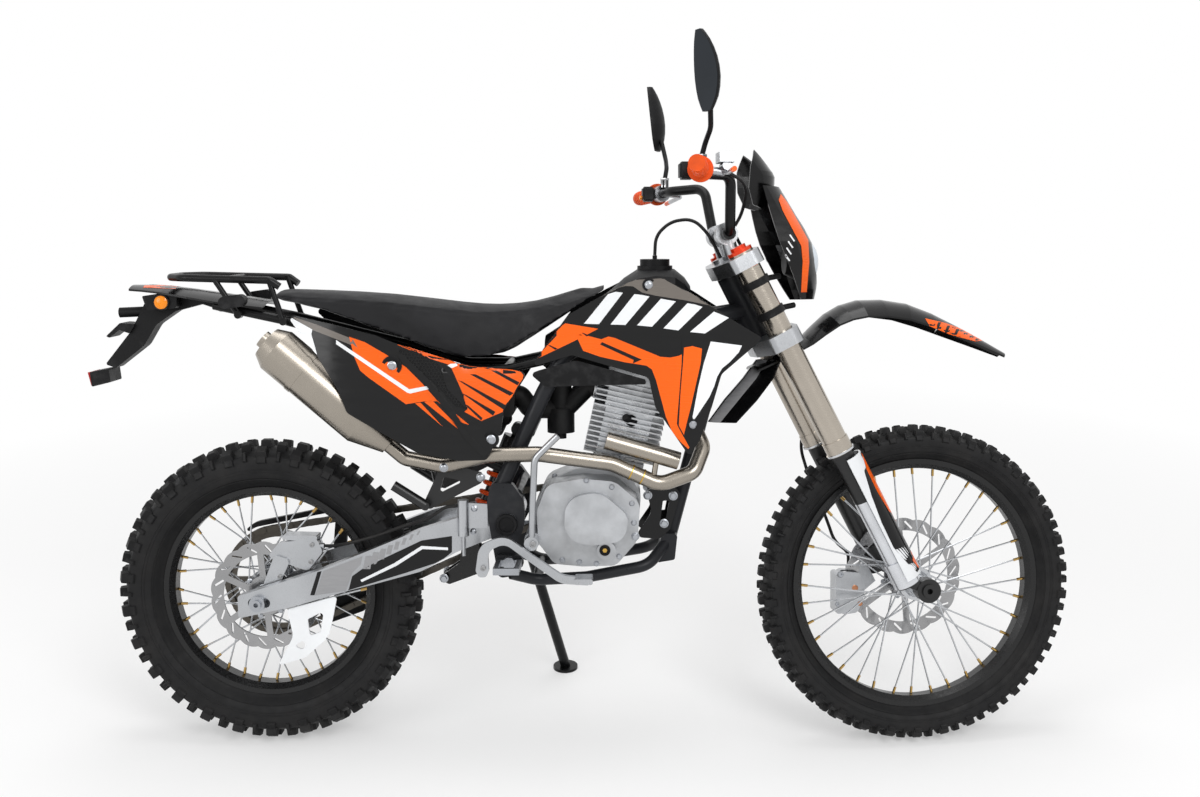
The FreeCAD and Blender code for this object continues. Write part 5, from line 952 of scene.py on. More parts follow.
def fender_slashes():
    return [slanted(938.0 + i * 9.0, 322.5 + i * 3.4, 3.0, 10.0, 4.0) for i in range(FENDER_SLASHES)]


# Name, node, finish, lift in millimetres, pitch of its points, and outlines in the picture
PRINTS = (
    ("shroud_taupe_print", "tank_shrouds", "taupe_gloss", 0.6, 5.0,
        [[(591.6, 298.9), (602.8, 291.2), (615.4, 283.5), (632.3, 277.0), (647.7, 276.1), (661.7, 277.0),
          (674.4, 283.8), (707.3, 302.6), (730.0, 317.0), (712.2, 305.9), (684.2, 300.1), (656.1, 295.8),
          (642.1, 292.5), (633.0, 286.3), (625.3, 286.0), (612.6, 289.4), (600.0, 296.4)]]),
    ("shroud_wedge_print", "tank_shrouds", "gloss_white", 0.6, 5.0,
        [[(710.8, 341.5), (742.0, 345.5), (738.9, 352.2), (729.8, 362.1), (722.1, 368.4), (717.2, 376.8),
          (714.4, 385.9), (709.4, 397.1), (698.2, 414.0), (693.7, 420.3), (692.6, 417.1), (698.2, 387.3),
          (703.8, 363.5)]]),
    ("shroud_orange_print", "tank_shrouds", "orange_gloss", 0.6, 5.0,
        [[(574.7, 332.6), (591.6, 336.8), (601.4, 339.3), (608.4, 336.5), (614.7, 337.9), (660.3, 356.7),
          (670.2, 357.6), (678.6, 355.9), (681.9, 354.4), (681.7, 363.5), (678.9, 398.6), (676.9, 423.8),
          (678.9, 428.3), (689.5, 447.4), (688.4, 449.1), (680.7, 442.0), (673.0, 433.6), (665.9, 416.8),
          (656.1, 380.3), (651.9, 369.4), (646.3, 365.6), (633.0, 363.5), (625.5, 362.4), (600.0, 356.7),
          (583.2, 350.8)]]),
    ("shroud_notch_print", "tank_shrouds", "gloss_black", 0.9, 5.0,
        [[(602.1, 342.1), (637.9, 357.9), (641.8, 359.5), (633.0, 363.5), (633.7, 360.0), (600.0, 344.5)]]),
    ("shroud_badge_print", "tank_shrouds", "orange_gloss", 0.6, 5.0,
        [[(684.2, 347.5), (692.6, 346.1), (702.1, 348.6), (700.7, 363.5), (691.2, 405.6), (683.9, 434.8),
          (678.9, 425.5), (680.5, 394.3), (682.8, 366.3)]]),
    ("shroud_recess_print", "tank_shrouds", "gloss_black", 0.9, 5.0,
        [[(614.0, 335.7), (621.0, 332.9), (681.4, 338.8), (681.4, 353.1), (677.9, 355.3), (670.2, 356.7),
          (661.7, 356.2), (635.1, 344.5)]]),
    ("shroud_rear_print", "tank_shrouds", "orange_gloss", 0.6, 5.0,
        [[(499.6, 355.6), (513.1, 345.3), (533.2, 334.5), (560.0, 322.5), (598.3, 328.8), (581.4, 337.6),
          (560.0, 347.9), (533.2, 360.6), (524.6, 364.8), (512.2, 362.5), (504.1, 360.6)]]),
    ("shroud_stripe", "tank_shrouds", "gloss_white", 0.6, 5.0, band_stripes()),
    ("shroud_cut", "tank_shrouds", "gloss_black", 0.9, 5.0,
        [[(520.8, 354.8), (523.7, 355.2), (532.8, 359.8), (531.3, 361.3)],
         [(547.6, 344.9), (550.4, 345.3), (557.7, 348.7), (555.2, 349.8)],
         [(581.4, 332.6), (583.7, 333.0), (588.7, 335.3), (586.8, 336.5)]]),
    ("panel_orange", "side_panels", "orange_gloss", 0.6, 5.0,
        [[(349.2, 336.8), (364.9, 342.2), (385.9, 354.4), (406.0, 367.1), (421.9, 383.1), (438.0, 401.3),
          (424.2, 401.3), (406.0, 404.2), (368.7, 377.8), (360.1, 370.5), (353.8, 355.6)],
         [(415.2, 403.4), (420.4, 402.5), (442.4, 426.4)],
         [(424.2, 401.9), (432.2, 400.4), (468.6, 436.7), (465.3, 434.8)],
         [(435.7, 400.0), (442.4, 402.6), (469.3, 425.0), (462.4, 422.9)],
         [(395.5, 336.5), (413.7, 344.1), (462.4, 363.2), (481.2, 365.5), (493.1, 362.5), (499.2, 356.3),
          (503.8, 361.3), (523.3, 365.9), (529.4, 371.3), (522.7, 378.9), (517.0, 387.0), (512.2, 396.5),
          (507.4, 409.9), (493.1, 416.0), (481.2, 421.0), (464.4, 411.8), (467.0, 408.8), (462.4, 392.7),
          (454.8, 375.5), (450.0, 365.0), (431.8, 359.2), (397.4, 344.9), (394.3, 339.9)]]),
    ("panel_cut", "side_panels", "gloss_black", 0.9, 5.0,
        [[(486.5, 367.8), (492.1, 368.2), (519.5, 382.4), (517.5, 385.4)],
         [(470.1, 374.3), (475.5, 374.3), (513.7, 393.1), (509.9, 395.8)],
         [(457.8, 380.1), (462.4, 381.6), (506.8, 405.7), (503.0, 409.2)],
         [(461.7, 393.1), (466.3, 395.0), (495.3, 411.8), (493.1, 415.7)],
         [(464.4, 404.2), (467.8, 405.3), (482.5, 418.0), (481.2, 420.6)]]),
    ("panel_white", "side_panels", "gloss_white", 0.9, 5.0,
        [[(336.2, 339.9), (340.0, 342.6), (409.3, 389.3), (428.4, 385.8), (429.9, 388.9), (410.4, 393.5),
          (407.3, 392.7), (336.2, 344.1)],
         [(447.5, 365.5), (454.0, 360.9), (462.8, 363.2), (451.7, 368.2)],
         [(287.0, 315.2), (312.6, 329.5), (311.5, 334.1), (318.7, 359.6), (299.8, 334.6)]]),
    ("panel_taupe_print", "side_panels", "taupe_gloss", 0.6, 5.0,
        [[(289.6, 315.5), (317.7, 324.9), (352.9, 339.2), (358.0, 348.4), (349.5, 344.3), (311.3, 329.5)]]),
    ("tail_orange_print", "rear_fender", "orange_gloss", 0.6, 5.0,
        [[(136.5, 283.1), (148.0, 282.6), (177.3, 286.6), (175.3, 289.2), (144.2, 287.7)]]),
    ("arm_grey_print", "swingarm", "grey_gloss", 0.6, 5.0,
        [[(323.1, 571.1), (362.6, 556.3), (360.5, 564.7), (352.1, 573.2), (345.8, 591.0), (315.3, 595.3)]]),
    ("arm_edge_print", "swingarm", "gloss_black", 0.9, 5.0,
        [[(317.4, 572.1), (321.6, 571.1), (314.6, 595.2), (310.2, 595.2)]]),
    ("arm_wedge_print", "swingarm", "gloss_black", 0.6, 5.0,
        [[(348.9, 588.9), (352.1, 576.3), (363.7, 567.9), (392.0, 554.4), (421.6, 540.5), (452.0, 536.0),
          (452.0, 552.0), (440.1, 561.6), (404.7, 573.2), (347.9, 590.4)]]),
    ("arm_line_print", "swingarm", "gloss_white", 0.9, 3.0,
        [[(360.5, 579.9), (394.2, 563.1), (421.6, 545.8), (448.0, 547.5), (448.0, 550.0), (422.6, 549.0),
          (396.3, 565.8), (361.8, 582.0)]]),
    ("arm_slash", "swingarm", "grey_gloss", 0.6, 3.0, arm_slashes()),
    ("mask_edge_print", "headlight_mask", "orange_gloss", 0.8, 3.0,
        [[(780.5, 194.0), (787.5, 203.0), (808.0, 240.0), (809.0, 262.0), (806.5, 292.0), (801.0, 292.0),
          (802.5, 262.0), (801.0, 246.0), (782.5, 211.0), (778.5, 200.0)]]),
    ("mask_slash", "headlight_mask", "gloss_white", 0.8, 2.0, mask_slashes()),
    ("fender_print", "front_fender", "orange_gloss", 0.6, 3.0,
        [[(925.0, 318.5), (945.0, 323.0), (968.0, 331.5), (986.0, 340.5), (975.0, 341.5), (955.0, 336.0),
          (931.0, 328.5)]]),
    ("fender_slash", "front_fender", "gloss_black", 0.9, 3.0, fender_slashes()),
    ("tube_print", "fork_tubes", "orange_gloss", 0.5, 2.0,
        [[(739.0, 265.0), (755.0, 258.5), (757.5, 264.5), (741.5, 271.0)]]),
)


def prints():
    """All the printed patches, numbered where there are several of one kind."""
    for name, node, finish, lift, pitch, outlines in PRINTS:
        for i, outline in enumerate(outlines):
            full = name if name.endswith("_print") else "%s_%d" % (name, i)
            sticker(full, outline, node, finish, lift * MM, pitch)


# Fasteners

HEX, SOCKET, DOME = "hex", "socket", "dome"
BOLT_LOOKS = {HEX: "zinc", SOCKET: "bright_steel", DOME: "zinc"}
CHASSIS_BOLTS = (
    (391.7, 365.9, 8, HEX), (491.1, 439.6, 8, HEX), (649.1, 284.9, 8, DOME), (693.2, 424.8, 7, HEX),
    (443.8, 467.6, 8, DOME), (480.8, 477.3, 8, DOME), (474.4, 508.5, 6, DOME), (473.2, 531.5, 6, DOME),
    (444.0, 578.3, 8, HEX), (483.3, 568.0, 6, SOCKET), (533.0, 543.9, 7, SOCKET), (647.7, 495.3, 8, HEX),
    (673.2, 495.8, 8, HEX), (664.1, 523.4, 8, HEX), (635.4, 536.4, 7, HEX), (280.1, 576.3, 5, SOCKET),
    (621.3, 457.5, 5, HEX), (652.2, 468.0, 5, HEX), (312.1, 544.7, 5, SOCKET), (311.1, 561.6, 5, SOCKET),
)
CALIPER_BOLTS = ((840.0, 574.0, 7, SOCKET), (837.0, 604.0, 5, SOCKET))
CALIPER_PISTONS = ((855.0, 588.0, 7.0), (860.0, 603.5, 5.5))
COVER_BOLTS = (
    (554.7, 476.1), (586.3, 480.3), (611.8, 486.9), (631.9, 503.3), (634.0, 522.7), (562.4, 559.9),
    (579.3, 562.0), (596.5, 563.6), (619.2, 556.4),
)
COVER_BOLT_RADIUS = 5.0
BOLT_CIRCLE = 0.047
DISC_FACE = 0.066
DARK_WASHERS = ((391.7, 365.9, 21), (491.1, 439.6, 17), (649.1, 284.9, 14), (693.2, 424.8, 12))


def fastener(bm, spot, axis, radius, kind):
    """A flanged hexagon head, a socket cap or a domed head standing on a surface."""
    r = radius * MM
    base = spot - axis * MM
    if kind == HEX:
        turned(bm, base, axis, ((0, r * 1.25), (0.0016, r * 1.25), (0.0026, r * 1.05)), 20)
        turned(bm, spot, axis, ((0, r), (r * 0.75, r), (r * 0.9, r * 0.82)), 6)
    elif kind == SOCKET:
        wall = ((0, 1), (1, 1), (1.14, 0.86), (1.14, 0.52), (0.5, 0.5))
        turned(bm, base, axis, [(r * along, r * out) for along, out in wall], 18)
    else:
        turned(bm, base, axis, ((0, r * 1.2), (0.0014, r * 1.2), (0.0022, r), (r * 0.5, r * 0.8),
                                (r * 0.62, r * 0.45)), 20)


def first_hit(start, ray, body):
    """The nearest point of any CAD node of a body along a ray, in the row frame, and how far it is."""
    best = None
    for name, holder in BODY_OF.items():
        if holder != body or name in ("hoses", "front_hose"):
            continue
        hit, normal, index, far = surface(name).ray_cast(start, ray)
        if hit is not None and (best is None or far < best[1]):
            best = (hit, far)
    return best


def right_side_spot(u, v, body="chassis"):
    """Where a picture point lies on a body, in upright coordinates."""
    found = first_hit(*sight(u, v), body)
    return None if found is None else PLACES[body].inverted() @ found[0]


def left_twin(spot, reach=0.012):
    """The same place on the left side of the chassis, where the surface is symmetric."""
    found = first_hit(CHASSIS @ Vector((spot.x, 0.6, spot.z)), CHASSIS.to_3x3() @ RIGHT, "chassis")
    if found is None:
        return None
    twin = CHASSIS.inverted() @ found[0]
    return twin if abs(twin.y + spot.y) < reach else None


def both_sides(u, v):
    """The places a picture point marks on the chassis, right and left, with the way out of each."""
    spot = right_side_spot(u, v)
    twin = None if spot is None else left_twin(spot)
    return [(p, way) for p, way in ((spot, RIGHT), (twin, LEFT)) if p is not None]


def fasteners():
    """The bolts that show on the frame, panels and engine."""
    made = {look: bmesh.new() for look in ("zinc", "bright_steel", "matt_black")}
    for u, v, radius, kind in CHASSIS_BOLTS + tuple((u, v, COVER_BOLT_RADIUS, HEX) for u, v in COVER_BOLTS):
        for spot, way in both_sides(u, v):
            fastener(made[BOLT_LOOKS[kind]], spot, way, radius, kind)
    for u, v, radius in DARK_WASHERS:
        r = radius * MM
        for spot, way in both_sides(u, v):
            profile = ((0, r), (0.0022, r), (0.0022, r * 0.7), (0.0012, r * 0.6))
            turned(made["matt_black"], spot - way * MM, way, profile, 28)
    for look, bm in made.items():
        mesh_piece("bolts_" + look, bm, look)


def caliper_details():
    """The bolts and the bronze pistons on the inner side of the front caliper."""
    bolts = bmesh.new()
    pistons = bmesh.new()
    for u, v, radius, kind in CALIPER_BOLTS:
        fastener(bolts, right_side_spot(u, v, "steering"), RIGHT, radius, kind)
    for u, v, radius in CALIPER_PISTONS:
        r = radius * MM
        profile = ((-0.001, r), (0.0014, r), (0.002, r * 0.8), (0.002, r * 0.4))
        turned(pistons, right_side_spot(u, v, "steering"), RIGHT, profile)
    mesh_piece("caliper_bolts", bolts, "zinc", "steering")
    mesh_piece("caliper_pistons", pistons, "bronze", "steering")


def wheel_fasteners():
    """The bolts of the discs and of the sprocket."""
    for end, axle, way in (("rear", REAR_AXLE, RIGHT), ("front", FRONT_AXLE, LEFT)):
        bm = bmesh.new()
        for i in range(6):
            out = spoke(math.radians(60 * i + 15)) * BOLT_CIRCLE
            fastener(bm, axle + out + way * DISC_FACE, way, 5.0, DOME)
            if end == "rear":
                fastener(bm, axle + out * 1.25 + LEFT * (CHAIN_LINE + 0.003), LEFT, 6.0, HEX)
        mesh_piece(end + "_wheel_bolts", bm, "zinc", end + "_wheel")


# Shock spring

SHOCK_LOW = mm(448, 0, 440)
SHOCK_TOP = mm(556, 0, 698)
COIL_SOLID = 0.029
COIL_START, COIL_END = 0.046, 0.203
COIL_TURNS = 7
WIRE = 0.0052
COIL_SIDES = 20
DAMPER_RADIUS = 0.017
COLLAR = ((0, 0.016), (0, COIL_SOLID), (0.005, COIL_SOLID), (0.005, 0.016))


def shock():
    """The coil spring round a slim black body, in place of its plain solid."""
    axis = (SHOCK_TOP - SHOCK_LOW).normalized()
    mesh = NODES["rear_suspension"].data.copy()
    mesh.transform(CHASSIS.inverted())
    for v in mesh.vertices:
        along = (v.co - SHOCK_LOW).dot(axis)
        off = v.co - SHOCK_LOW - axis * along
        if 0.02 < along < 0.22 and abs(off.length - COIL_SOLID) < 0.0006:
            v.co -= off * (1 - DAMPER_RADIUS / COIL_SOLID)
    mesh.materials.clear()
    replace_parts(piece("shock_body", mesh, "black_anodised", "chassis"), "rear_suspension")
    across, other = square_axes(axis)
    path = []
    count = COIL_TURNS * COIL_SIDES
    for i in range(count + 1):
        a = 2 * math.pi * i / COIL_SIDES
        out = (across * math.cos(a) + other * math.sin(a)) * (COIL_SOLID - WIRE - 0.0005)
        path.append(SHOCK_LOW + axis * (COIL_START + (COIL_END - COIL_START) * i / count) + out)
    bm = bmesh.new()
    pipe(bm, path, WIRE)
    mesh_piece("shock_spring", bm, "orange_paint")
    bm = bmesh.new()
    for along in (COIL_START - 0.008, COIL_END + 0.002):
        turned(bm, SHOCK_LOW + axis * along, axis, COLLAR, 32)
    mesh_piece("shock_collars", bm, "satin_alloy")


# Grille on the side panels

GRILLE = [(398.9, 348.7), (416.5, 351.6), (439.5, 365.0), (450.0, 375.5), (462.4, 396.5), (466.3, 409.0),
          (454.8, 406.1), (443.3, 392.7), (428.0, 377.4), (412.7, 364.0), (400.8, 356.3)]
GRILLE_RIB = [(398.0, 354.0), (402.0, 353.5), (428.5, 379.0), (452.0, 408.5), (470.0, 436.0), (494.0, 461.0),
              (488.0, 463.0), (464.0, 438.0), (446.0, 411.0), (424.0, 383.0), (401.0, 361.0)]
GRILLE_BLOCK = [(439.5, 365.0), (450.0, 375.5), (462.4, 396.5), (466.3, 409.0), (447.1, 388.9)]
CELL = 3.6
CELL_COLUMNS = 22
# Rings of a cell from its outer edge inwards: radius as a share of the cell, and height over the panel
CELL_RINGS = ((0.577, 0.0022), (0.40, 0.0022), (0.36, 0.0008))


def inside(outline, u, v):
    """True for a picture point within an outline."""
    hit = False
    for i, (u0, v0) in enumerate(outline):
        u1, v1 = outline[i - 1]
        if (v0 > v) != (v1 > v) and u < u0 + (u1 - u0) * (v - v0) / (v1 - v0):
            hit = not hit
    return hit


def cell_ring(u, v, reach, lift):
    """Six corners round a picture point, laid over the side panel."""
    ring = []
    for k in range(6):
        a = math.radians(30 + 60 * k)
        hit, normal = on_surface(u + reach * math.cos(a), v + reach * math.sin(a), "side_panels")
        ring.append(CHASSIS.inverted() @ (hit + normal * lift))
    return ring


def grille():
    """A dark recess under a net of six-sided cells, with the rib beside it."""
    sticker("grille_floor", GRILLE, "side_panels", "matt_black", 0.0010)
    sticker("grille_rib", GRILLE_RIB, "side_panels", "gloss_black", 0.0040, skirt=True)
    sticker("grille_block", GRILLE_BLOCK, "side_panels", "gloss_black", 0.0030, skirt=True)
    left = min(p[0] for p in GRILLE)
    top = min(p[1] for p in GRILLE)
    step = CELL * 0.87
    bm = bmesh.new()
    for row in range(int((max(p[1] for p in GRILLE) - top) / step) + 1):
        for col in range(CELL_COLUMNS):
            u = left + (col + 0.5 * (row % 2)) * CELL
            v = top + row * step
            if not inside(GRILLE, u, v):
                continue
            rings = [cell_ring(u, v, CELL * share, lift) for share, lift in CELL_RINGS]
            for way in (1, -1):
                made = [[bm.verts.new((p.x, p.y * way, p.z)) for p in ring] for ring in rings]
                bridge(bm, made[0], made[1])
                bridge(bm, made[1], made[2])
    mesh_piece("grille_cells", bm, "gloss_black")


# Prints round the fork guards

FORK_SPREAD = 0.100
CLAMP_OFFSET = 0.023
GUARD_RADIUS = 0.0385
WRAP_STEPS = 10
GUARD_BLACK = ((0.338, -12, 30), (0.30, -14, 60), (0.25, -14, 76), (0.19, -14, 86), (0.13, -14, 88),
               (0.085, -14, 70), (0.055, -12, 50))
GUARD_ORANGE = ((0.336, 2, 24), (0.30, 2, 46), (0.25, 2, 48), (0.20, 2, 38), (0.165, 2, 8))
GUARD_TIP = ((0.098, 2, 18), (0.08, 2, 44), (0.058, 2, 30))
WIPER = ((0, 0.0275), (0, 0.0312), (0.004, 0.0312), (0.004, 0.0275))
WIPER_HEIGHT = 0.356


def leg_point(height, side):
    """A point of a fork leg's middle line by its height up the steering axis."""
    return STEER_FOOT + STEER_UP * height + STEER_FORWARD * CLAMP_OFFSET + LEFT * (side * FORK_SPREAD)


def leg_ring(bm, height, side, radius, start, end):
    """Points round a fork leg at a height, at angles counted outwards from straight ahead."""
    made = []
    for k in range(WRAP_STEPS + 1):
        a = math.radians(start + (end - start) * k / WRAP_STEPS)
        out = STEER_FORWARD * math.cos(a) + LEFT * (side * math.sin(a))
        made.append(bm.verts.new(leg_point(height, side) + out * radius))
    return made


def wrapped(name, rows, radius, finish):
    """A print laid round both fork guards."""
    bm = bmesh.new()
    for side in (-1, 1):
        rings = [leg_ring(bm, height, side, radius, a, b) for height, a, b in rows]
        for low, high in zip(rings, rings[1:]):
            for k in range(WRAP_STEPS):
                bm.faces.new((low[k], low[k + 1], high[k + 1], high[k])[::side])
    mesh_piece(name, bm, finish, "steering", outward=False)


def guard_prints():
    """The prints of the fork guards and the bright rings of the dust seals."""
    wrapped("guard_black_print", GUARD_BLACK, GUARD_RADIUS, "gloss_black")
    wrapped("guard_orange_print", GUARD_ORANGE, GUARD_RADIUS + 0.0004, "orange_gloss")
    wrapped("guard_tip_print", GUARD_TIP, GUARD_RADIUS + 0.0004, "orange_gloss")
    bm = bmesh.new()
    for side in (-1, 1):
        turned(bm, leg_point(WIPER_HEIGHT, side), STEER_UP, WIPER, 36)
    mesh_piece("fork_wipers", bm, "bright_alloy", "steering")


# The front fender's rear flap: place ahead, height, half width and crown of each row

TAIL_ROWS = ((1.078, 0.848, 0.056, 0.040), (1.048, 0.808, 0.057, 0.052), (1.007, 0.762, 0.055, 0.058),
             (0.971, 0.714, 0.049, 0.050))
TAIL_STEPS = 12
TAIL_THICKNESS = 0.0035


def tail_grid(bm, inward):
    """Rows of points over one face of the flap."""
    grid = []
    for x, z, half, crown in TAIL_ROWS:
        shares = [2 * k / TAIL_STEPS - 1 for k in range(TAIL_STEPS + 1)]
        grid.append([bm.verts.new((x + inward + crown * abs(t) ** 2.2, (half - inward * 0.5) * t, z))
                     for t in shares])
    return grid


def fender_tail():
    """The rear flap of the front fender: a crowned sheet running down behind the fork legs, with two painted
    highlight bands.
    """
    bm = bmesh.new()
    grids = [tail_grid(bm, inward) for inward in (0.0, TAIL_THICKNESS)]
    for grid, flip in zip(grids, (1, -1)):
        for low, high in zip(grid, grid[1:]):
            for k in range(TAIL_STEPS):
                face = bm.faces.new((low[k], low[k + 1], high[k + 1], high[k])[::flip])
                # Faces with index 1 take the grey finish: painted highlight bands on the shoulders of the crown,
                # on the rear face.
                face.material_index = 1 if flip == 1 and 2 <= min(k, TAIL_STEPS - 1 - k) <= 4 else 0
    edges = [grid[0] + [row[-1] for row in grid[1:]] + grid[-1][-2::-1] + [row[0] for row in grid[-2:0:-1]]
             for grid in grids]
    bridge(bm, *edges)
    mesh_piece("fender_tail", bm, ("gloss_black", "grey_gloss"), "steering")


# Bar ends and small lamps

BAR_END = mm(877.88, -409.0, 1229.78)
GRIP_AXIS = Vector((-0.23011, -0.97316, 0.0))
GRIP_RIBS = 9
RIB_STEP = 0.0115
GRIP_RIB = ((0, 0.0155), (0.0008, 0.0172), (0.0045, 0.0172), (0.0053, 0.0155))
SLEEVE = ((0, 0.0088), (0, 0.0100), (0.016, 0.0100), (0.017, 0.0108), (0.021, 0.0108), (0.021, 0.0088))
BUTTON = ((0, 0.005), (0.006, 0.005), (0.007, 0.004))
REFLECTOR = ((0, 0.0145), (0.002, 0.0142), (0.0042, 0.011), (0.0052, 0.006), (0.0055, 0.0005))
BOX_SIZE = (0.028, 0.030, 0.034)
RED_TILT = math.radians(-13.0)
# Distances from the end of the bar
FIRST_RIB = 0.010
BOX_BACK = 0.142
SLEEVE_BACK = 0.168


def boxed(bm, centre, size, tilt=0.0):
    """A plain box, tilted about the crosswise axis."""
    turn = Matrix.Rotation(tilt, 3, "Y")
    for v in bmesh.ops.create_cube(bm, size=1.0)["verts"]:
        v.co = centre + turn @ Vector((v.co.x * size[0], v.co.y * size[1], v.co.z * size[2]))


def mirror_glass():
    """The glass on the rider's side of both mirrors, a little inside their rims."""
    bm = bmesh.new()
    bm.from_mesh(NODES["mirrors"].data)
    bm.transform(STEERED.inverted())
    bm.normal_update()
    bmesh.ops.delete(bm, geom=[f for f in bm.faces if f.normal.x > -0.8], context="FACES")
    bmesh.ops.delete(bm, geom=[v for v in bm.verts if not v.link_faces], context="VERTS")
    rim = bmesh.ops.inset_region(bm, faces=bm.faces[:], thickness=0.004, use_even_offset=True)["faces"]
    bmesh.ops.delete(bm, geom=rim, context="FACES")
    bm.normal_update()
    for v in bm.verts:
        v.co.x -= 0.0005
    mesh_piece("mirror_glass", bm, "mirror_glass", "steering", outward=False)


def bar_details():
    """Grip ribs, mirror sleeves and the switch boxes behind the lever perches."""
    ribs, sleeves, boxes, button = (bmesh.new() for k in range(4))
    for side in (-1, 1):
        end = Vector((BAR_END.x, BAR_END.y * -side, BAR_END.z))
        axis = Vector((GRIP_AXIS.x, GRIP_AXIS.y * -side, 0.0))
        for k in range(GRIP_RIBS):
            turned(ribs, end - axis * (FIRST_RIB + RIB_STEP * k), -axis, GRIP_RIB, 28)
        turned(sleeves, end - axis * SLEEVE_BACK + mm(0, 0, 12.5), UP, SLEEVE, 6)
        box = end - axis * BOX_BACK - mm(30, 0, 1)
        boxed(boxes, box, BOX_SIZE)
        if side == 1:
            turned(button, box + mm(-13, 4, -8), -FORWARD, BUTTON, 20)
    bmesh.ops.bevel(boxes, geom=boxes.edges[:], offset=0.004, segments=3, affect="EDGES")
    mesh_piece("grip_ribs", ribs, "orange_rubber", "steering")
    mesh_piece("mirror_sleeves", sleeves, "bright_steel", "steering")
    mesh_piece("switch_boxes", boxes, "matt_black", "steering")
    mesh_piece("switch_button", button, "amber_lens", "steering")


def lamp_details():
    """Amber reflectors on the tail housing and the red strip at the foot of the plate bracket."""
    bm = bmesh.new()
    for side in (-1, 1):
        turned(bm, mm(-203, side * 61.5, 983), LEFT * side, REFLECTOR, 32)
    mesh_piece("amber_reflectors", bm, "amber_lens")
    spot = right_side_spot(93.0, 379.0)
    behind = CHASSIS @ Vector((spot.x - 0.3, 0.0, spot.z))
    rear = CHASSIS.inverted() @ first_hit(behind, CHASSIS.to_3x3() @ FORWARD, "chassis")[0]
    bm = bmesh.new()
    boxed(bm, rear - FORWARD * 0.0016, (0.006, abs(spot.y) * 1.7, 0.030), RED_TILT)
    mesh_piece("red_reflector", bm, "red_lens")


# Turned caps on the engine: place in the picture, sides and profile
PIVOT_CAP = (506.6, 524.4, 28, ((0, 0.0235), (0.003, 0.0235), (0.006, 0.0215), (0.006, 0.0165),
                                (0.004, 0.0155), (0.004, 0.0005)))
FILLER_RING = (604.9, 550.3, 28, ((0, 0.0118), (0.002, 0.0118), (0.003, 0.0108), (0.003, 0.0085),
                                  (0.0012, 0.0080), (0.0012, 0.0005)))
FILLER_HEX = (604.9, 550.3, 6, ((0, 0.0055), (0.003, 0.0052), (0.0036, 0.0044), (0.0036, 0.0005)))
BOOT = ((0, 0.012), (0.010, 0.012), (0.013, 0.009), (0.032, 0.0085), (0.036, 0.006), (0.036, 0.0005))
BOOT_AXIS = Vector((-0.45, -0.8, 0.35)).normalized()
HEADER_RING = ((0, 0.0165), (0.0004, 0.0176), (0.0030, 0.0176), (0.0034, 0.0165))


def engine_details():
    """The pivot cap, the plug on the clutch cover, the plug boot and the rings on the header."""
    black = bmesh.new()
    brass = bmesh.new()
    for bm, (u, v, sides, profile) in ((black, PIVOT_CAP), (black, FILLER_RING), (brass, FILLER_HEX)):
        turned(bm, right_side_spot(u, v), RIGHT, profile, sides)
    turned(black, right_side_spot(632.0, 421.0) - BOOT_AXIS * 0.002, BOOT_AXIS, BOOT, 20)
    axis = (mm(764, -128, 641) - mm(866, -122, 594)).normalized()
    for step in (0.0, 0.026):
        turned(brass, mm(830, -124.1, 610.6) + axis * step, axis, HEADER_RING, 28)
    mesh_piece("engine_black_parts", black, "matt_black")
    mesh_piece("engine_brass_parts", brass, "brass")


# Floor and light

WORLD_LIGHT = 0.52
FLOOR_CLEAR = 1.2
FLOOR_WHITE = 3.0
FLOOR_GLOW = 0.35
FULL_WHITE = (1.0, 1.0, 1.0, 1.0)
# Name, place, size and power of each lamp
LAMPS = (("key", (1.6, -3.4, 3.6), 2.0, 84.0), ("fill", (-2.8, -2.6, 2.2), 1.8, 34.0),
         ("top", (0.0, 0.6, 3.8), 2.4, 48.0))


def seen_directly(tree):
    """1 for a ray from the camera, off metal or through glass."""
    path = tree.nodes.new("ShaderNodeLightPath").outputs
    most = path["Is Camera Ray"]
    for name in ("Is Glossy Ray", "Is Transmission Ray"):
        most = wired(tree, "ShaderNodeMath", {0: most, 1: path[name]}, operation="MAXIMUM")
    return most


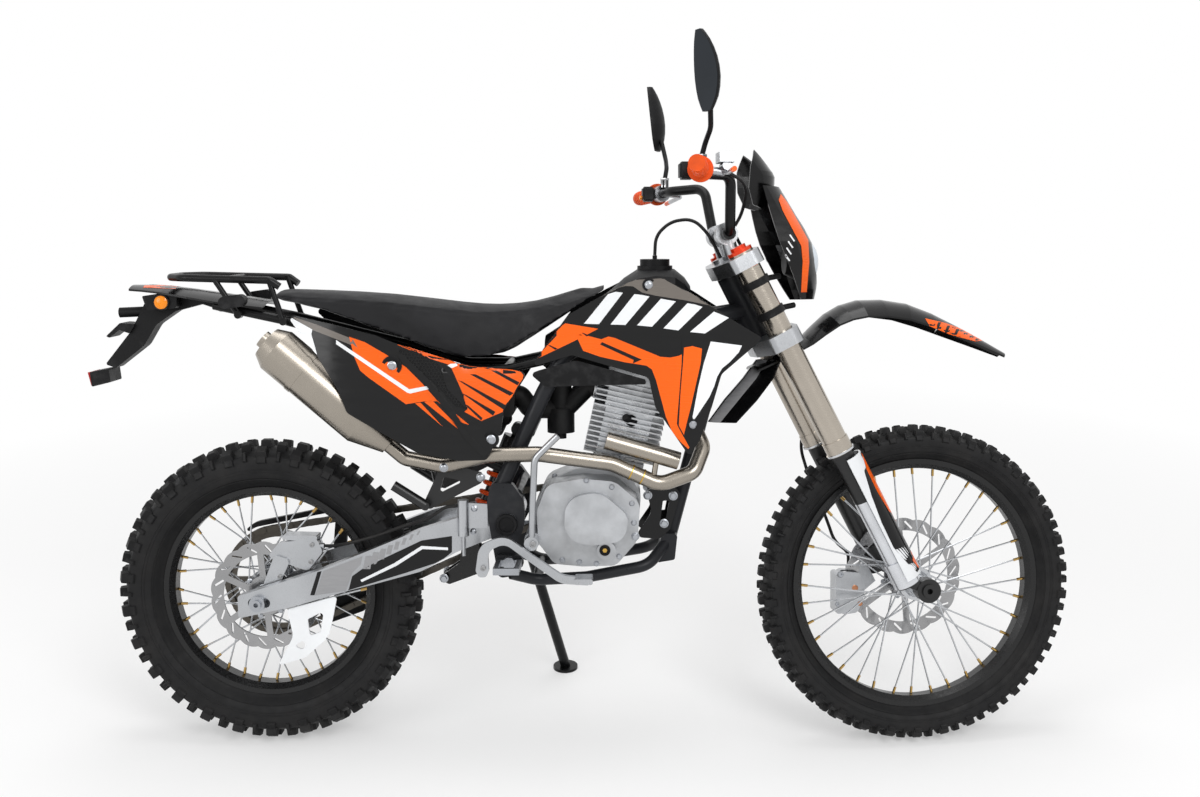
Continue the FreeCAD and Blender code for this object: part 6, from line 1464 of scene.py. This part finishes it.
def floor_look():
    """A pale floor that takes the shadow near the bike and turns plain white away from it."""
    f = Finish("floor_white", (252, 252, 252), 0.9, shine=0.0)
    f.shaded(0.985, 1.0, 0.5)
    spot = f.node("ShaderNodeNewGeometry", {}, "Position")
    far = f.node("ShaderNodeVectorMath", {0: spot}, "Value", operation="LENGTH")
    share = f.ramp(far, FLOOR_CLEAR, FLOOR_WHITE, FLOOR_GLOW, 1.0)
    share = f.math("MULTIPLY", share, seen_directly(f.tree))
    glow = f.node("ShaderNodeEmission", {})
    both = f.node("ShaderNodeMixShader", {0: share, 1: f.bsdf.outputs[0], 2: glow})
    f.tree.links.new(both, f.tree.nodes["Material Output"].inputs[0])
    return f.mat


def floor_and_light():
    """A pale floor, a white surround and three soft lamps."""
    bpy.ops.mesh.primitive_plane_add(size=60.0, location=(0, 0, 0))
    floor = bpy.context.object
    floor.name = "floor"
    floor.data.materials.append(floor_look())
    world = bpy.data.worlds.new("surround")
    bpy.context.scene.world = world
    world.use_nodes = True
    tree = world.node_tree
    lit = tree.nodes["Background"]
    lit.inputs["Color"].default_value = FULL_WHITE
    lit.inputs["Strength"].default_value = WORLD_LIGHT
    shown = wired(tree, "ShaderNodeBackground", {"Color": FULL_WHITE, "Strength": 1.0})
    both = wired(tree, "ShaderNodeMixShader", {0: seen_directly(tree), 1: lit.outputs[0], 2: shown})
    tree.links.new(both, tree.nodes["World Output"].inputs[0])
    for setting in LAMPS:
        lamp(*setting)


def lamp(name, spot, size, power):
    data = bpy.data.lights.new(name, "AREA")
    data.size = size
    data.energy = power
    obj = placed(name, data)
    obj.location = spot
    aim = Vector((0, 0, 0.6)) - Vector(spot)
    obj.rotation_euler = aim.to_track_quat("-Z", "Y").to_euler()


make_camera()
finishes()
dress_nodes()
tyres()
chain()
seat()
shock()
prints()
guard_prints()
fender_tail()
bar_details()
mirror_glass()
lamp_details()
grille()
fasteners()
wheel_fasteners()
caliper_details()
engine_details()
floor_and_light()
bpy.context.scene.view_settings.view_transform = "Standard"
